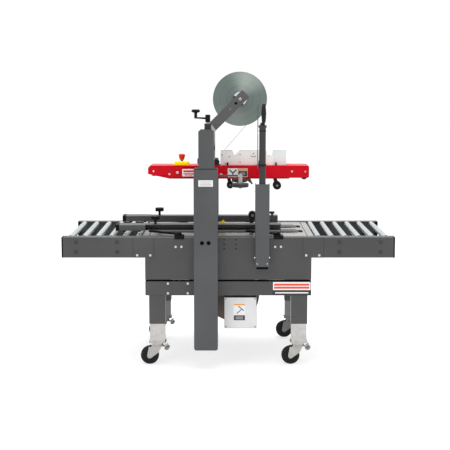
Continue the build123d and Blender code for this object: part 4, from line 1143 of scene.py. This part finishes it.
class SEALER_OT_labels(bpy.types.Operator):
    """Add plain striped and blank labels where the machine carries its plates"""

    bl_idname = "sealer.labels"
    bl_label = "Labels"

    def execute(self, context):
        c, sizes, _ = settings()
        thick = sizes.label_thickness / MM
        corner = sizes.label_corner / MM
        red = (0.62, 0.02, 0.02)
        ink = (0.015, 0.015, 0.015)
        paper = (0.80, 0.80, 0.79)
        orange = tuple(c.orange)
        slope = math.radians(42)
        lines = [
            ((-0.1225, 1.0405 - 0.0072 * row), (0.031 - 0.003 * (row % 2), 0.0011), 0.0, (0.26, 0.26, 0.27))
            for row in range(4)
        ]
        plans = [
            (
                "head_label_blocks",
                "head",
                (-263, -190, 1038, 1080),
                COVER_FACE,
                paper,
                [
                    ((-0.2265, 1.0665), (0.030, 0.0062), 0.0, red),
                    ((-0.2265, 1.0515), (0.030, 0.0038), 0.0, shade(red, 0.8)),
                    ((-0.2265, 1.0428), (0.022, 0.0014), 0.0, ink),
                ],
            ),
            (
                "head_label_bars",
                "head",
                (-2, 56, 1034, 1084),
                COVER_FACE,
                paper,
                [
                    ((0.0175, 1.0655), (0.0150, 0.0036), -slope, ink),
                    ((0.0365, 1.0655), (0.0150, 0.0036), slope, ink),
                    ((0.0270, 1.0500), (0.0034, 0.0075), 0.0, ink),
                ],
            ),
            (
                "head_label_band",
                "head",
                (57, 112, 1034, 1084),
                COVER_FACE,
                (0.62, 0.52, 0.44),
                [
                    ((0.0845, 1.0765), (0.0255, 0.0055), 0.0, (0.72, 0.38, 0.13)),
                    ((0.0845, 1.0530), (0.0255, 0.0155), 0.0, (0.03, 0.03, 0.032)),
                    ((0.0845, 1.0530), (0.0125, 0.0085), 0.0, (0.20, 0.20, 0.21)),
                ],
            ),
            (
                "column_label",
                "bed",
                (-162, -83, 1014, 1049),
                COLUMN_FACE,
                (0.70, 0.71, 0.71),
                lines,
            ),
            (
                "frame_label",
                "bed",
                (246, 458, 399, 476),
                PANEL_FACE,
                ink,
                [
                    ((0.3520, 0.4510), (0.104, 0.0225), 0.0, paper),
                    ((0.3520, 0.4590), (0.098, 0.0060), 0.0, (0.74, 0.06, 0.03)),
                    ((0.3520, 0.4420), (0.098, 0.0060), 0.0, (0.74, 0.06, 0.03)),
                    ((0.3520, 0.4130), (0.092, 0.0034), 0.0, paper),
                ],
            ),
            (
                "box_label",
                "bed",
                (30, 94, 252, 352),
                BOX_FACE,
                (0.76, 0.76, 0.77),
                [
                    ((0.0620, 0.3445), (0.0310, 0.0048), 0.0, orange),
                    ((0.0720, 0.3220), (0.0200, 0.0026), -slope, (0.05, 0.06, 0.07)),
                    ((0.0620, 0.3060), (0.0200, 0.0026), slope, (0.12, 0.16, 0.20)),
                    ((0.0620, 0.2690), (0.0310, 0.0145), 0.0, (0.035, 0.033, 0.035)),
                    ((0.0620, 0.2690), (0.0200, 0.0090), 0.0, (0.22, 0.20, 0.20)),
                ],
            ),
        ]
        for name, body, (x0, x1, z0, z1), face, ground, marks in plans:
            label = Piece(sizes.round_steps)
            label.prism(rounded(x0, x1, z0, z1, corner), -face - thick, -face + 0.2)
            label.become(name, body, label_finish(name.replace("_", " "), ground, marks))
        return {"FINISHED"}


class SEALER_OT_stage(bpy.types.Operator):
    """Make the pale floor, the white surroundings, the soft lights and the camera"""

    bl_idname = "sealer.stage"
    bl_label = "Stage"

    def execute(self, context):
        _, _, stage = settings()
        scene = bpy.context.scene
        half = stage.floor_size / 2
        data = bpy.data.meshes.new("floor")
        corners = [(-half, -half, 0), (half, -half, 0), (half, half, 0), (-half, half, 0)]
        data.from_pydata(corners, [], [(0, 1, 2, 3)])
        data.materials.append(floor_finish("pale floor", stage.floor_colour, stage.floor_glow))
        floor = bpy.data.objects.new("floor", data)
        floor.location.z = -0.0005
        scene.collection.objects.link(floor)

        world = bpy.data.worlds.new("white surroundings")
        world.use_nodes = True
        background = world.node_tree.nodes["Background"]
        background.inputs["Color"].default_value = (1.0, 1.0, 1.0, 1.0)
        background.inputs["Strength"].default_value = stage.sky
        scene.world = world

        for name, place, aim, size, power in (
            ("key light", (-2.6, -3.4, 3.4), (0.0, 0.0, 0.8), 2.4, stage.key),
            ("top light", (0.2, 0.2, 4.2), (0.0, 0.0, 0.8), 3.0, stage.top),
        ):
            lamp = bpy.data.lights.new(name, "AREA")
            lamp.energy = power
            lamp.size = size
            light = bpy.data.objects.new(name, lamp)
            light.location = place
            light.rotation_euler = (Vector(aim) - Vector(place)).to_track_quat("-Z", "Y").to_euler()
            scene.collection.objects.link(light)

        view = bpy.data.cameras.new("camera")
        view.lens = stage.lens
        view.sensor_width = 36.0
        view.shift_x = stage.shift_x
        view.shift_y = stage.shift_y
        camera = bpy.data.objects.new("camera", view)
        camera.location = (stage.camera_side, -stage.camera_back, stage.camera_height)
        camera.rotation_euler = (stage.pitch, 0.0, 0.0)
        scene.collection.objects.link(camera)
        scene.camera = camera
        scene.view_settings.view_transform = "Standard"
        return {"FINISHED"}


class SEALER_PT_panel(bpy.types.Panel):
    """Colours, sizes and stage of the carton sealer, and the steps that build it"""

    bl_idname = "SEALER_PT_panel"
    bl_label = "Carton Sealer"
    bl_space_type = "VIEW_3D"
    bl_region_type = "UI"
    bl_category = "Carton Sealer"

    def draw(self, context):
        for group in (context.scene.sealer_colours, context.scene.sealer_sizes, context.scene.sealer_stage):
            box = self.layout.box()
            for name in group.__annotations__:
                box.prop(group, name)
        for step in STEPS:
            self.layout.operator(step.bl_idname)


STEPS = (
    SEALER_OT_bed_finishes,
    SEALER_OT_head_finishes,
    SEALER_OT_moving_finishes,
    SEALER_OT_cover_fittings,
    SEALER_OT_plate_fittings,
    SEALER_OT_cable_gland,
    SEALER_OT_tape_run,
    SEALER_OT_stop_fittings,
    SEALER_OT_column_fittings,
    SEALER_OT_cable_fittings,
    SEALER_OT_leg_fittings,
    SEALER_OT_guide_fittings,
    SEALER_OT_bed_fittings,
    SEALER_OT_caster_fittings,
    SEALER_OT_labels,
    SEALER_OT_stage,
)
GROUPS = {"sealer_colours": SealerColours, "sealer_sizes": SealerSizes, "sealer_stage": SealerStage}


def register():
    """Register the settings, the steps and the panel."""
    for kind in (*GROUPS.values(), *STEPS, SEALER_PT_panel):
        bpy.utils.register_class(kind)
    for name, kind in GROUPS.items():
        setattr(bpy.types.Scene, name, PointerProperty(type=kind))


def unregister():
    """Remove the settings, the steps and the panel."""
    for name in GROUPS:
        delattr(bpy.types.Scene, name)
    for kind in reversed((*GROUPS.values(), *STEPS, SEALER_PT_panel)):
        bpy.utils.unregister_class(kind)


def main():
    """Build everything in order."""
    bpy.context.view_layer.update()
    register()
    bpy.ops.sealer.bed_finishes()
    bpy.ops.sealer.head_finishes()
    bpy.ops.sealer.moving_finishes()
    bpy.ops.sealer.cover_fittings()
    bpy.ops.sealer.plate_fittings()
    bpy.ops.sealer.cable_gland()
    bpy.ops.sealer.tape_run()
    bpy.ops.sealer.stop_fittings()
    bpy.ops.sealer.column_fittings()
    bpy.ops.sealer.cable_fittings()
    bpy.ops.sealer.leg_fittings()
    bpy.ops.sealer.guide_fittings()
    bpy.ops.sealer.bed_fittings()
    bpy.ops.sealer.caster_fittings()
    bpy.ops.sealer.labels()
    bpy.ops.sealer.stage()


if __name__ == "__main__":
    main()
